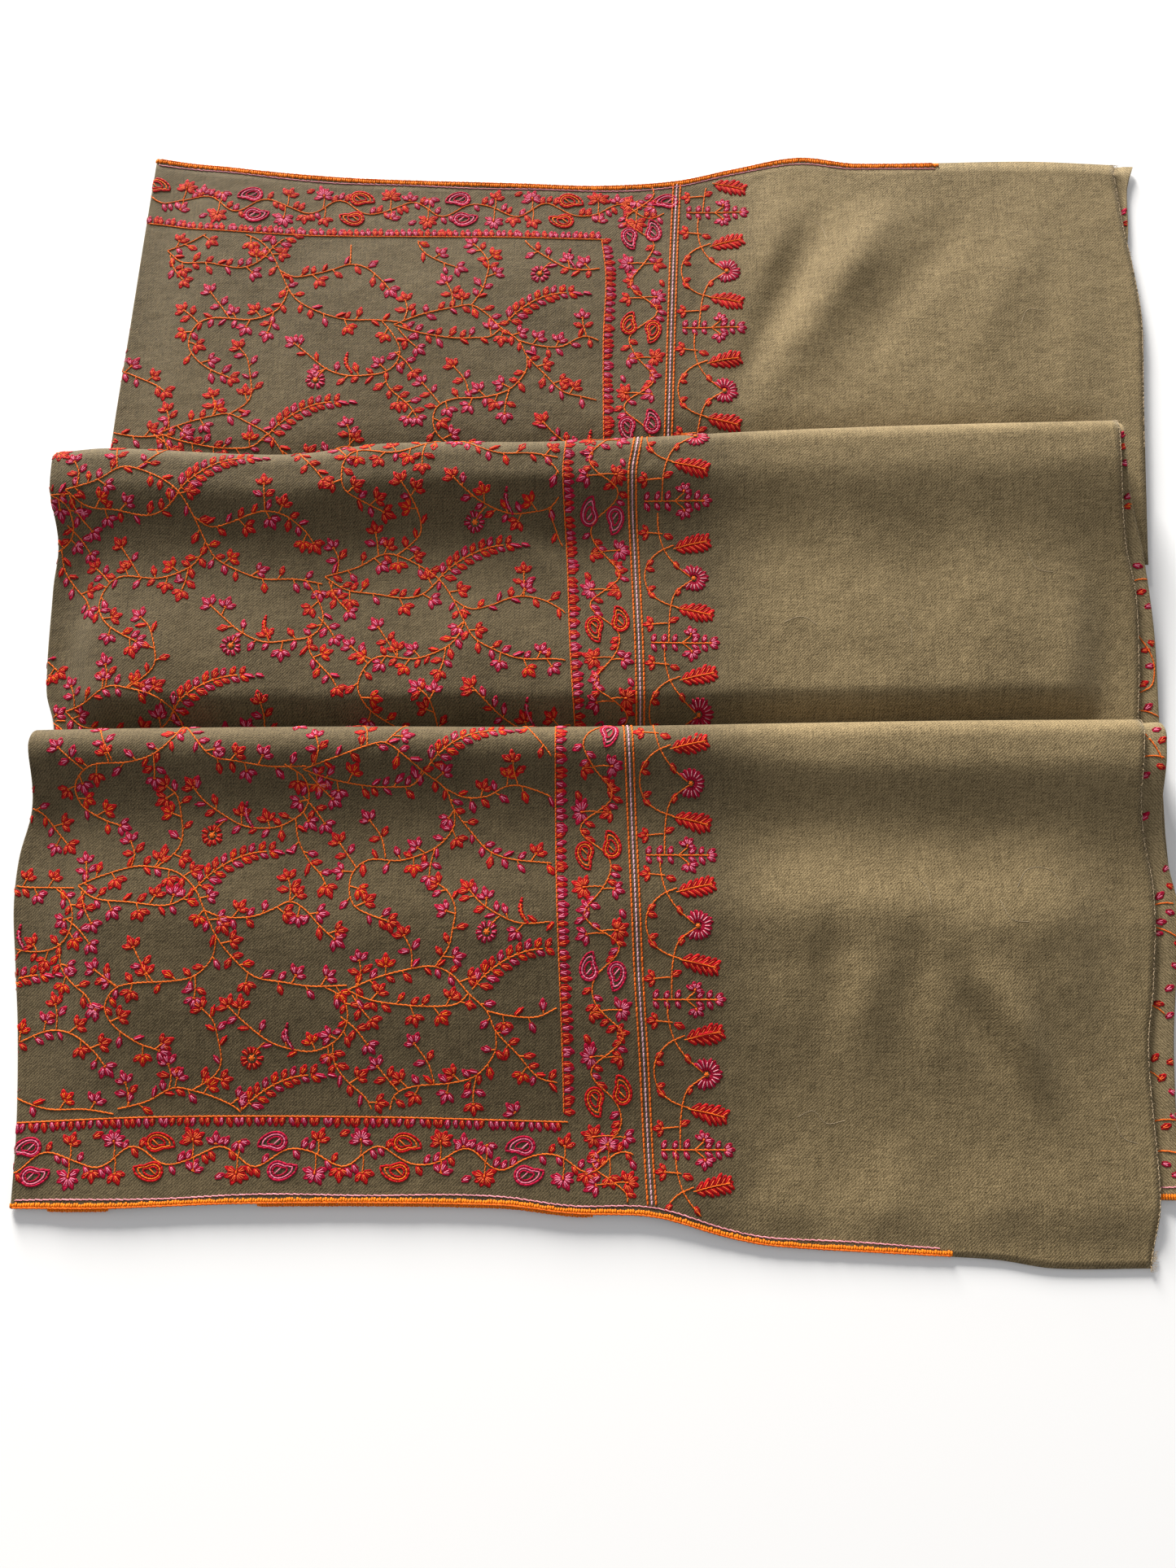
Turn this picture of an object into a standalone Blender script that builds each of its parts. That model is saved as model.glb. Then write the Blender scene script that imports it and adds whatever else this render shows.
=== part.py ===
"""An embroidered wool shawl, 2 m by 1 m, folded in three along its length and laid in three
overlapping stretches, each pleated over the one behind it.

+X runs from the left fold to the raw end, +Y from the front hem to the back hem, +Z up.
All sizes below are in millimetres and the objects are in metres.
"""

import math

import bmesh
import bpy
from mathutils import Matrix, Vector

MM = 0.001

# Cloth and the way its layers lie
WALL = 1.5
SEAM = 0.3
TURN_GAP = 0.6
TURN_RADIUS = WALL + TURN_GAP / 2
UNDER = WALL + SEAM
TABLE_CLEARANCE = 0.2
TWO_LAYERS = 2 * TURN_RADIUS + TABLE_CLEARANCE
THREE_LAYERS = TWO_LAYERS + UNDER
TURN_LEG = 14
UNDERLAP_COVER = 18
STACK_START = 18
STACK_RISE = 45

# Pleats: the cloth rolls over a crown, goes back under itself and runs on behind
PLEAT_CLEARANCE = 1.4
PLEAT_RETURN = 52
PLEAT_FALL = 50
SLOPE_REACH = 120
FIELD_SPAN = 180
OVERHANG_SPAN = 40
LAP_CLEARANCE = 0.6

# The front hem of the top layer runs out past the layers under it
OVERHANG_DROP = 14
HEM_INSET = 2

# Loft of the lying cloth between its creases, gone at its edges and under the lap of a pleat
LOFT = 2.2
LOFT_EDGE = 40
LAP_MARGIN = 15
LAP_FADE = 45

# Lengthwise lines of the grid: two near each side edge, the rest over the hidden layers
EDGE_LINES = 2
INNER_LINES = 23
ALL_LINES = INNER_LINES + 2 * EDGE_LINES
TURN_STEPS = 4
LEG_COLUMNS = 2

# Crosswise rows of the grid
RETURN_ROWS = (-2, -1.66, -1.33)
CROWN_STEPS = 6
SLOPE_ROWS = (0, 15, 29, 42, 55, 70, 90, SLOPE_REACH)
LAPPED_STEPS = 5
OPEN_STEPS = 8
BACK_STEPS = 13
OVERHANG_STEPS = 3

# Where the side edges are read from to find which rows they belong to
ROUGH_SIDES = (-370, 355)

# The middle of the outline's front and side edges, which is the part's origin
ORIGIN = (7.2, 0.8)

CLOTH_COLOUR = (0.118, 0.092, 0.045, 1)
UNDERSIDE_COLOUR = (0.135, 0.107, 0.056, 1)
HIDDEN_COLOUR = (0.100, 0.078, 0.038, 1)

# Crown of each pleat: x, y of its backmost line, height of its top
MIDDLE_PLEAT = (
    (-376, 143, 32),
    (-341, 146, 33),
    (-218, 141, 34),
    (-149, 149, 35),
    (-29, 151, 34),
    (116, 159, 34),
    (228, 163, 35),
    (353, 167, 33),
)
FRONT_PLEAT = (
    (-374, -54, 32),
    (-300, -53, 34),
    (-166, -52, 35),
    (-20, -52, 34),
    (99, -50, 34),
    (230, -48, 35),
    (350, -47, 33),
)

# Hems: x, y
BACK_HEM = (
    (-334, 392),
    (-292, 385),
    (-237, 378),
    (-176, 373),
    (-60, 369),
    (-3, 367),
    (54, 371),
    (97, 381),
    (146, 391),
    (188, 386),
    (316, 388),
    (381, 385),
)
FRONT_HEM = (
    (-369, -355),
    (-313, -355),
    (-221, -352),
    (-67, -353),
    (-20, -358),
    (30, -360),
    (75, -372),
    (103, -377),
    (187, -382),
    (240, -385),
    (275, -390),
    (337, -390),
)
UNDER_HEM = (
    (-369, -353),
    (-221, -354),
    (-67, -355),
    (0, -354),
    (100, -352),
    (370, -352),
)

# Side edges: y, x of the left fold; y, x of the raw end; y, x of the right fold below it
BACK_LEFT = ((392, -334), (333, -338), (253, -343), (157, -349), (70, -350))
BACK_RAW = ((392, 380), (330, 384), (305, 387), (262, 390), (239, 389), (179, 384), (70, 376))
BACK_TURN = ((392, 398), (384, 396), (370, 391), (330, 388), (300, 383), (250, 380), (70, 372))
MIDDLE_LEFT = ((146, -376), (114, -376), (79, -373), (48, -377), (-22, -377), (-48, -370), (-120, -368))
MIDDLE_RAW = ((167, 353), (126, 352), (77, 356), (44, 362), (-10, 361), (-43, 358), (-120, 355))
MIDDLE_TURN = ((167, 357), (118, 358), (70, 369), (18, 374), (-42, 373), (-120, 370))
FRONT_LEFT = (
    (-54, -374),
    (-80, -372),
    (-107, -374),
    (-136, -381),
    (-169, -382),
    (-208, -378),
    (-244, -374),
    (-306, -370),
    (-355, -369),
)
FRONT_RAW = (
    (-47, 350),
    (-92, 346),
    (-125, 349),
    (-157, 353),
    (-216, 349),
    (-258, 343),
    (-347, 343),
    (-390, 335),
)
FRONT_TURN = (
    (-47, 365),
    (-103, 361),
    (-135, 364),
    (-178, 370),
    (-212, 365),
    (-258, 360),
    (-352, 357),
)

# The hidden layers end on two straight lines: y, x
HIDDEN_LEFT = ((392, -318), (-355, -337))
HIDDEN_RIGHT = ((392, 336), (-355, 310))

# Their hem edge is two rounded lips: how far out, and the share of the height
HEM_LIPS = ((0.8, 0.94), (1.4, 0.75), (0.8, 0.56), (-1.2, 0.5), (0.8, 0.44), (1.4, 0.25), (0.8, 0.06))
HEM_SETBACK = 3

# Soft ridges and, with a negative height, troughs: x, y, half length, half width, turn, height
BACK_CREASES = (
    (150, 250, 95, 20, 58, -4.0),
    (186, 236, 90, 22, 55, 3.6),
    (262, 262, 60, 22, 48, -2.6),
    (318, 300, 60, 26, 80, 1.6),
    (-60, 300, 90, 30, 100, 1.4),
    (-230, 290, 70, 26, 78, -1.6),
    (-150, 240, 60, 24, 60, 1.2),
    (40, 260, 70, 22, 84, -1.4),
)
MIDDLE_CREASES = (
    (-20, 30, 60, 22, 62, 2.2),
    (22, 22, 70, 22, 74, -2.6),
    (-190, 20, 70, 28, 84, -1.6),
    (-300, 0, 60, 24, 96, 1.6),
    (130, 10, 70, 26, 78, 2.2),
    (196, 30, 60, 20, 82, -2.4),
    (280, 0, 80, 30, 96, 1.8),
)
FRONT_CREASES = (
    (212, -238, 62, 20, 118, -4.2),
    (248, -262, 62, 18, 116, 4.0),
    (286, -262, 56, 18, 112, -2.4),
    (130, -210, 70, 26, 70, 2.4),
    (150, -300, 60, 22, 30, -2.0),
    (40, -200, 60, 24, 96, -1.8),
    (-70, -250, 80, 30, 84, 1.4),
    (-180, -200, 70, 28, 100, -1.4),
    (-280, -260, 80, 30, 92, 1.5),
)


def smoothstep(share):
    share = min(1.0, max(0.0, share))
    return share * share * (3 - 2 * share)


def blend(first, second, share):
    return first + (second - first) * share


def read_curve(rows, at, column=1):
    """The value of a column at a place along the first column, on a smooth curve through the rows."""
    if rows[0][0] > rows[-1][0]:
        rows = rows[::-1]
    at = min(rows[-1][0], max(rows[0][0], at))
    last = next(i for i in range(1, len(rows)) if at <= rows[i][0])
    places = [row[0] for row in rows]
    values = [row[column] for row in rows]

    def slope(i):
        low, high = max(0, i - 1), min(len(rows) - 1, i + 1)
        return (values[high] - values[low]) / (places[high] - places[low])

    span = places[last] - places[last - 1]
    t = (at - places[last - 1]) / span
    rise = values[last] - values[last - 1]
    bend = (slope(last - 1) * span - rise) * (1 - t) - (slope(last) * span - rise) * t
    return values[last - 1] + t * rise + t * (1 - t) * bend


def read_line(rows, at):
    """The value at a place on the straight line through two rows, past its ends too."""
    (start, first), (end, last) = rows
    return blend(first, last, (at - start) / (end - start))


def crease_height(rows, x, y):
    """Sum of the ridges and troughs at a place, before the floor that the layers below give."""
    total = 0.0
    for crease_x, crease_y, length, width, turn, height in rows:
        angle = math.radians(turn)
        along = (x - crease_x) * math.cos(angle) + (y - crease_y) * math.sin(angle)
        aside = (y - crease_y) * math.cos(angle) - (x - crease_x) * math.sin(angle)
        total += height * math.exp(-((along / length) ** 2) - (aside / width) ** 2)
    return total


class Stretch:
    """One of the three lengths of cloth that show, from its back line to its front line."""

    def __init__(self, back, front, left, raw, turn, creases, pleat=None, hem=None):
        self.back, self.front = back, front
        self.left, self.raw, self.turn = left, raw, turn
        self.creases, self.pleat, self.hem = creases, pleat, hem

    def back_y(self, x):
        """The crown's centre line on a pleat, and the hem on the back stretch."""
        if self.pleat:
            return read_curve(self.pleat, x) - self.crown_radius(x)
        return read_curve(self.back, x)

    def front_y(self, x):
        """The front hem, or where the cloth turns back under the pleat in front."""
        if isinstance(self.front, Stretch):
            return self.front.back_y(x) - PLEAT_RETURN
        return read_curve(self.front, x) + HEM_INSET

    def crown_height(self, x):
        return read_curve(self.pleat, x, 2)

    def crown_radius(self, x):
        return (self.crown_height(x) - THREE_LAYERS - PLEAT_CLEARANCE) / 2

    def stack(self, x, y):
        """Height of the flat layers: two at the left fold, three further in."""
        inward = x - read_curve(self.left, y) - STACK_START
        return blend(TWO_LAYERS, THREE_LAYERS, smoothstep(inward / STACK_RISE))

    def loft(self, x, y):
        """How far the lying cloth stands off its flat stack, none at an edge or under a pleat."""
        edge = min(x - read_curve(self.left, y), read_curve(self.raw, y) - x) - STACK_START
        share = smoothstep(edge / LOFT_EDGE)
        if isinstance(self.front, Stretch):
            share *= smoothstep((y - self.front.back_y(x) - LAP_MARGIN) / LAP_FADE)
        else:
            share *= smoothstep((y - self.front_y(x)) / LOFT_EDGE)
        if not self.pleat:
            share *= smoothstep((self.back_y(x) - y) / LOFT_EDGE)
        raised = LOFT + crease_height(self.creases, x, y)
        return share * (raised + math.hypot(raised, 1)) / 2

    def overhang(self, x, y):
        """How far the top layer has come down past the hem of the layers below it."""
        if isinstance(self.front, Stretch):
            return 0.0
        past = read_curve(self.front, x) - y
        return (self.stack(x, y) - WALL - TABLE_CLEARANCE) * smoothstep(past / OVERHANG_DROP)

    def point(self, x, v):
        """Place on the outer face. v is -2 to -1 on the part turned under, -1 to 0 round the crown,
        then millimetres forward of the crown, a share of the field and a share of the overhang."""
        if v < 0:
            radius = self.crown_radius(x)
            centre = self.crown_height(x) - radius
            if v > -1:
                angle = -v * math.pi
                y = self.back_y(x) + radius * math.sin(angle)
                return Vector((x, y, centre + radius * math.cos(angle)))
            share = -1 - v
            lift = (PLEAT_CLEARANCE - SEAM) * (1 - share) ** 2
            return Vector((x, self.back_y(x) - PLEAT_RETURN * share, THREE_LAYERS + SEAM + lift))
        slope = SLOPE_REACH if self.pleat else 0
        y = self.back_y(x) - min(v, slope)
        if v > slope:
            share = (v - slope) / FIELD_SPAN
            y = blend(y, self.front_y(x), min(1, share) if self.hem else share)
        if self.hem and v > slope + FIELD_SPAN:
            y = blend(y, read_curve(self.hem, x), (v - slope - FIELD_SPAN) / OVERHANG_SPAN)
        rise = 0.0
        if self.pleat:
            rise = 1 / (1 + (min(v, slope + FIELD_SPAN) / PLEAT_FALL) ** 4)
            rise *= 1 - smoothstep((v - slope) / FIELD_SPAN)
        lying = self.stack(x, y) + self.loft(x, y) - self.overhang(x, y)
        return Vector((x, y, blend(lying, self.crown_height(x) if self.pleat else lying, rise)))

    def outward(self, x, v):
        """The outer face's normal."""
        step = 0.02 if v < 0.02 else 1.0
        across = self.point(x + 1, v) - self.point(x - 1, v)
        least = -2 if self.pleat else 0
        back = self.point(x, max(least, v - step)) - self.point(x, v + step)
        return across.cross(back).normalized()

    def inside(self, x, v, depth):
        """The place at a depth below the outer face."""
        return self.point(x, v) - depth * self.outward(x, v)

    def edges(self, x, v):
        """x of the left fold, the raw end and the right fold at that row."""
        y = self.point(x, max(v, 0)).y
        return read_curve(self.left, y), read_curve(self.raw, y), read_curve(self.turn, y)

    def rows(self):
        """The v of each row of the grid, from the part turned under to the front."""
        if not self.pleat:
            return [FIELD_SPAN * i / BACK_STEPS for i in range(BACK_STEPS + 1)]
        found = list(RETURN_ROWS)
        found += [-1 + i / CROWN_STEPS for i in range(CROWN_STEPS)]
        found += SLOPE_ROWS
        steps = LAPPED_STEPS if isinstance(self.front, Stretch) else OPEN_STEPS
        found += [SLOPE_REACH + FIELD_SPAN * i / steps for i in range(1, steps + 1)]
        if self.hem:
            field = SLOPE_REACH + FIELD_SPAN
            found += [field + OVERHANG_SPAN * i / OVERHANG_STEPS for i in range(1, OVERHANG_STEPS + 1)]
        return found


front = Stretch(None, UNDER_HEM, FRONT_LEFT, FRONT_RAW, FRONT_TURN, FRONT_CREASES, FRONT_PLEAT, hem=FRONT_HEM)
middle = Stretch(None, front, MIDDLE_LEFT, MIDDLE_RAW, MIDDLE_TURN, MIDDLE_CREASES, MIDDLE_PLEAT)
back = Stretch(BACK_HEM, middle, BACK_LEFT, BACK_RAW, BACK_TURN, BACK_CREASES)


def station_x(stretch, column, v):
    """x of a lengthwise line of the grid, the same for a stretch and for what is hidden under it."""
    last = ALL_LINES - 1
    rough = blend(*ROUGH_SIDES, column / last)
    left, raw, _ = stretch.edges(rough, v)
    y = stretch.point(rough, v).y
    inner_left, inner_right = read_line(HIDDEN_LEFT, y), read_line(HIDDEN_RIGHT, y)
    if column < EDGE_LINES:
        return blend(left + TURN_RADIUS, inner_left, column / EDGE_LINES)
    if column > last - EDGE_LINES:
        return blend(raw, inner_right, (last - column) / EDGE_LINES)
    return blend(inner_left, inner_right, (column - EDGE_LINES) / (INNER_LINES - 1))


def turn_arc():
    """Angles round a fold, from its upper face to its lower one."""
    return [math.pi * i / TURN_STEPS for i in range(1, TURN_STEPS)]


def top_place(stretch, column, v):
    """Place on the top layer: its leg under the left fold, the fold, then the stations to the raw end."""
    arc = turn_arc()[::-1]
    first = LEG_COLUMNS + len(arc)
    if column >= first:
        return stretch.point(station_x(stretch, column - first, v), v)
    x = station_x(stretch, 0, v)
    if column < LEG_COLUMNS:
        leg = TURN_LEG * (1 - column)
        return stretch.inside(x + leg, v, 2 * TURN_RADIUS)
    angle = arc[column - LEG_COLUMNS]
    depth = TURN_RADIUS * (1 - math.cos(angle))
    return stretch.inside(x - TURN_RADIUS * math.sin(angle), v, depth)


def underlap_place(stretch, column, v):
    """Place on the layer below: from under the raw end, out to the right fold and back below itself."""
    arc = turn_arc()
    raw = station_x(stretch, ALL_LINES - 1, v)
    start = raw - UNDERLAP_COVER
    turn = max(stretch.edges(ROUGH_SIDES[1], v)[2] - TURN_RADIUS, raw - UNDERLAP_COVER / 2)
    upper = (start, blend(start, turn, 0.5), turn)
    lower = (turn, start)
    if column < len(upper):
        return stretch.inside(upper[column], v, UNDER)
    bend = column - len(upper)
    if bend < len(arc):
        depth = UNDER + TURN_RADIUS * (1 - math.cos(arc[bend]))
        return stretch.inside(turn + TURN_RADIUS * math.sin(arc[bend]), v, depth)
    return stretch.inside(lower[bend - len(arc)], v, UNDER + 2 * TURN_RADIUS)


def cloth_material(name, colour):
    material = bpy.data.materials.new(name)
    material.use_nodes = True
    shader = material.node_tree.nodes["Principled BSDF"]
    shader.inputs["Base Color"].default_value = colour
    shader.inputs["Roughness"].default_value = 0.85
    shader.inputs["Metallic"].default_value = 0.0
    return material


def add_object(name, mesh, material, collection):
    """An object from a bmesh that is in millimetres, centred on the part's origin."""
    data = bpy.data.meshes.new(name)
    mesh.to_mesh(data)
    mesh.free()
    data.transform(Matrix.Scale(MM, 4) @ Matrix.Translation((-ORIGIN[0], -ORIGIN[1], 0)))
    data.shade_smooth()
    data.materials.append(material)
    made = bpy.data.objects.new(name, data)
    collection.objects.link(made)
    return made


def cloth_wall(name, stretch, columns, rows, place, material, collection):
    """An open grid laid on the outer face and thickened inwards."""
    mesh = bmesh.new()
    bmesh.ops.create_grid(mesh, x_segments=columns - 1, y_segments=len(rows) - 1, size=1)
    spots = {}
    for vert in mesh.verts:
        column = round((vert.co.x + 1) / 2 * (columns - 1))
        row = round((1 - vert.co.y) / 2 * (len(rows) - 1))
        spots[vert] = (column, row)
        vert.co = place(stretch, column, rows[row])
    for face in list(mesh.faces):
        corners = sorted(face.verts, key=lambda vert: spots[vert])
        bmesh.utils.face_split(face, corners[0], corners[-1])
    made = add_object(name, mesh, material, collection)
    wall = made.modifiers.new("wall", "SOLIDIFY")
    wall.thickness = WALL * MM
    wall.offset = -1
    return made


def lips(point, outward):
    """The edges of two hidden layers, one above the other, from the upper face down to the table."""
    found = []
    for shift, level in HEM_LIPS:
        found.append(Vector((point.x, point.y + outward * shift, point.z * level)))
    return found


def hidden_section(column):
    """The closed outline of what lies under the top layer along one lengthwise line."""
    clearance = Vector((0, LAP_CLEARANCE, 0))
    field = SLOPE_REACH + FIELD_SPAN

    def under(stretch, v):
        return stretch.inside(station_x(stretch, column, v), v, UNDER)

    start = under(back, 0) - Vector((0, HEM_SETBACK, 0))
    outline = list(reversed(lips(start, 1)))
    outline.append(start)
    outline += [under(back, v) for v in back.rows()[1:]]
    steps = []
    for stretch in (middle, front):
        steps.append(outline[-1] - clearance)
        outline += [steps[-1], under(stretch, -2) - clearance]
        outline += [under(stretch, v) for v in stretch.rows()[1:] if v <= field]
    outline += lips(outline[-1], -1)
    floor = [under(front, v) for v in (field, field - 60, field - 120, SLOPE_REACH, 70)]
    floor += [steps[1]] + [under(middle, v) for v in (field, field - 90, SLOPE_REACH, 70)]
    floor += [steps[0]] + [under(back, FIELD_SPAN * share) for share in (1, 0.75, 0.5, 0.25)]
    outline += [Vector((point.x, point.y, 0)) for point in floor + [start]]
    return outline


def hidden_solid(name, material, collection):
    """The layers that don't show, as one solid: a loft through its lengthwise outlines."""
    mesh = bmesh.new()
    loops = []
    for column in range(EDGE_LINES, ALL_LINES - EDGE_LINES):
        loops.append([mesh.verts.new(place) for place in hidden_section(column)])
    count = len(loops[0])
    for first, second in zip(loops, loops[1:]):
        for i in range(count):
            after = (i + 1) % count
            mesh.faces.new((first[i], first[after], second[after]))
            mesh.faces.new((first[i], second[after], second[i]))
    mesh.faces.new(reversed(loops[0]))
    mesh.faces.new(loops[-1])
    return add_object(name, mesh, material, collection)


def clear_scene():
    for old in list(bpy.data.objects):
        bpy.data.objects.remove(old)


def main():
    clear_scene()
    collection = bpy.data.collections.new("embroidered_shawl")
    bpy.context.scene.collection.children.link(collection)
    face = cloth_material("shawl_face", CLOTH_COLOUR)
    reverse = cloth_material("shawl_reverse", UNDERSIDE_COLOUR)
    inner = cloth_material("shawl_inner_layers", HIDDEN_COLOUR)
    columns = LEG_COLUMNS + len(turn_arc()) + ALL_LINES
    below = 5 + len(turn_arc())
    for name, stretch in (("back", back), ("middle", middle), ("front", front)):
        rows = stretch.rows()
        cloth_wall(name + "_stretch", stretch, columns, rows, top_place, face, collection)
        short = [v for v in rows if v <= SLOPE_REACH + FIELD_SPAN]
        cloth_wall(name + "_underlap", stretch, below, short, underlap_place, reverse, collection)
    hidden_solid("hidden_layers", inner, collection)


main()
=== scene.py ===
# %% [markdown]
# # A folded shawl with stitched vines
#
# This lesson dresses a folded wool shawl: one piece of fine twill, 2 m by 1 m, worked all over with
# vines in orange, red and pink thread. It lies folded in three along its length and is laid in three
# overlapping stretches, each pleated over the one behind it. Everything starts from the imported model,
# whose seven solids give the size and the place of each stretch.

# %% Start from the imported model
import math
from itertools import groupby
from random import Random

import bmesh
import bpy
import numpy as np
from mathutils import Matrix, Vector


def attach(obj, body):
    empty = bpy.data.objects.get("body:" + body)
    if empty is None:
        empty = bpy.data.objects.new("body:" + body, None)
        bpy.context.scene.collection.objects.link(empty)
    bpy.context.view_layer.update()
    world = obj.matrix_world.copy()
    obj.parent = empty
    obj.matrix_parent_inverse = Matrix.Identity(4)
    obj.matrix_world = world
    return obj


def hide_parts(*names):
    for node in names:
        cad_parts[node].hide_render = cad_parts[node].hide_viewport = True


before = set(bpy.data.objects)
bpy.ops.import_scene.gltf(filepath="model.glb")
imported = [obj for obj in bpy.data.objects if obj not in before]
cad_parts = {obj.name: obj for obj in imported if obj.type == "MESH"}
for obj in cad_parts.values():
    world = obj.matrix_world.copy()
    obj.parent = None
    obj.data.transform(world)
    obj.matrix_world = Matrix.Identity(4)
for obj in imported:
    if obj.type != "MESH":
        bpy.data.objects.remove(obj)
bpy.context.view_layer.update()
print("nodes:", ", ".join(sorted(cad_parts)))

# %% [markdown]
# ## How the cloth lies
#
# The shape of the fold is held in short tables, in millimetres: the crown of each pleat, the hems and
# the side edges. A smooth curve runs through each table. Reading whole arrays at once keeps it quick,
# because the finished cloth and all its stitches ask for tens of thousands of places.

# %% Sizes of the fold
MM = 0.001
ORIGIN = (7.2, 0.8)
SOLID_WALL = 1.5
SEAM = 0.3
TURN_RADIUS = SOLID_WALL + 0.3
BEND = 1.4
UNDER = SOLID_WALL + SEAM
TABLE_CLEARANCE = 0.2
TWO_LAYERS = 2 * TURN_RADIUS + TABLE_CLEARANCE
THREE_LAYERS = TWO_LAYERS + UNDER
STACK_START, STACK_RISE = 18, 45
PLEAT_CLEARANCE, PLEAT_RETURN = 1.4, 86
SLOPE_REACH, FIELD_SPAN, OVERHANG_SPAN = 120, 180, 40
FIELD_END = SLOPE_REACH + FIELD_SPAN
OVERHANG_DROP, HEM_INSET, PRESSED_STACK = 32, 2, 2.9

# Loft of the lying cloth: its height, and how it fades at an edge, under a pleat and by the back hem
LOFT, LOFT_EDGE, LOFT_LEFT = 3.4, 40, 12
LAP_MARGIN, LAP_FADE, BACK_FADE = 6, 32, 100

# Swell of the middle stretch at its left and right: how far behind the front pleat it starts, height
SWELL_REACH, SWELL_HEIGHT = (182, 195), (11, 12)
SWELL_RISE, SWELL_GAP, SWELL_FALL = 125, 7, 28
print("two and three layers in mm:", round(TWO_LAYERS, 1), round(THREE_LAYERS, 1))

# %% [markdown]
# The crown of a pleat is the line where the cloth rolls over, 33 to 35 mm above the table. In front of
# it the cloth slopes down, steeply at the left and slowly at the right, so the slope has its own table.

# %% The two pleats
# Crown of each pleat: x, y of its backmost line, height of its top
MIDDLE_PLEAT = (
    (-376, 143, 32), (-341, 146, 33), (-218, 141, 34), (-149, 149, 35),
    (-29, 151, 34), (116, 159, 34), (228, 163, 35), (353, 167, 33),
)
FRONT_PLEAT = (
    (-374, -54, 32), (-300, -53, 34), (-166, -52, 35), (-20, -52, 34),
    (99, -50, 34), (230, -48, 35), (350, -47, 33),
)

# Slope in front of each crown: x, how far past the level top it is half way down
MIDDLE_FALL = ((-376, 38), (-220, 35), (-120, 30), (-20, 28), (60, 40), (180, 58), (353, 60))
FRONT_FALL = ((-374, 28), (-20, 27), (100, 34), (230, 39), (350, 44))
print("places along the crowns:", len(MIDDLE_PLEAT), len(FRONT_PLEAT))

# %% [markdown]
# The hems and side edges of hand-finished wool are never straight, and the eye knows a shawl by them.
# Each has a table of its own, with a row wherever the edge changes its course.

# %% Hems and side edges
# Hems: x, y
BACK_HEM = (
    (-334, 392), (-292, 385), (-237, 378), (-176, 373), (-60, 369), (-3, 367),
    (54, 371), (97, 381), (146, 391), (188, 386), (316, 388), (381, 385),
)
FRONT_HEM = (
    (-369, -355), (-313, -355), (-221, -352), (-67, -353), (-20, -358), (30, -360),
    (75, -372), (103, -377), (187, -382), (240, -385), (275, -390), (337, -390),
)
UNDER_HEM = ((-369, -350), (-221, -349), (-67, -350), (0, -352), (100, -352), (370, -352))

# Side edges: y, x of the left fold, of the raw end and of the right fold below it
BACK_LEFT = ((392, -334), (333, -338), (253, -343), (157, -349), (70, -350))
BACK_RAW = ((392, 380), (330, 384), (305, 387), (262, 390), (239, 389), (179, 384), (70, 376))
BACK_TURN = ((392, 398), (384, 396), (370, 391), (330, 388), (300, 383), (250, 380), (70, 372))
MIDDLE_LEFT = (
    (146, -376), (114, -376), (79, -373), (48, -377), (-22, -377), (-48, -370), (-120, -368),
)
MIDDLE_RAW = ((167, 353), (126, 352), (77, 356), (44, 362), (-10, 361), (-43, 358), (-120, 355))
MIDDLE_TURN = ((167, 357), (118, 358), (70, 369), (18, 374), (-42, 373), (-120, 370))
FRONT_LEFT = (
    (-54, -374), (-80, -372), (-107, -374), (-136, -381), (-169, -382), (-208, -378),
    (-244, -374), (-306, -370), (-355, -369),
)
FRONT_RAW = (
    (-47, 350), (-92, 346), (-125, 349), (-157, 353), (-216, 349), (-258, 343), (-347, 343),
    (-390, 335),
)
FRONT_TURN = (
    (-47, 365), (-103, 361), (-135, 364), (-178, 370), (-212, 365), (-258, 360), (-352, 357),
)
print("places along the front hem:", len(FRONT_HEM))

# %% [markdown]
# Folded wool keeps soft creases. Each is a long low mound or trough that fades on all sides, which
# takes one row of a table and can lie at any angle. Small flutes along the front hem work the same way.

# %% Creases and flutes
# Creases, each a soft ridge or trough: x, y, half length, half width, turn, height
BACK_CREASES = (
    (127, 345, 60, 13, 84, 3.8), (136, 288, 80, 12, 66, -5.2), (180, 298, 95, 15, 58, 5.2),
    (222, 286, 80, 16, 56, -3.5), (252, 322, 30, 13, 60, -2.4), (285, 270, 60, 18, 66, 2.8),
    (330, 300, 60, 14, 84, -1.8), (-60, 300, 90, 30, 100, 1.2), (-230, 290, 70, 26, 78, -1.8),
    (-150, 240, 60, 24, 60, 1.5), (20, 262, 70, 20, 84, -1.8), (72, 300, 70, 16, 86, -2.1),
)
MIDDLE_CREASES = (
    (-58, 78, 50, 12, 136, 3.5), (-36, 98, 44, 12, 142, -3.5), (127, 94, 60, 16, 112, -4.3),
    (160, 74, 60, 16, 112, 3.4), (-190, 20, 70, 24, 84, -2.1), (-300, 10, 60, 20, 96, 2.7),
    (-345, 20, 30, 12, 70, 2.4), (214, 40, 60, 18, 100, -2.4), (258, 30, 60, 18, 100, 2.8),
    (310, 60, 60, 16, 84, -2.8), (60, 0, 60, 22, 80, -2.0), (-100, -20, 60, 22, 80, 2.0),
)
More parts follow.
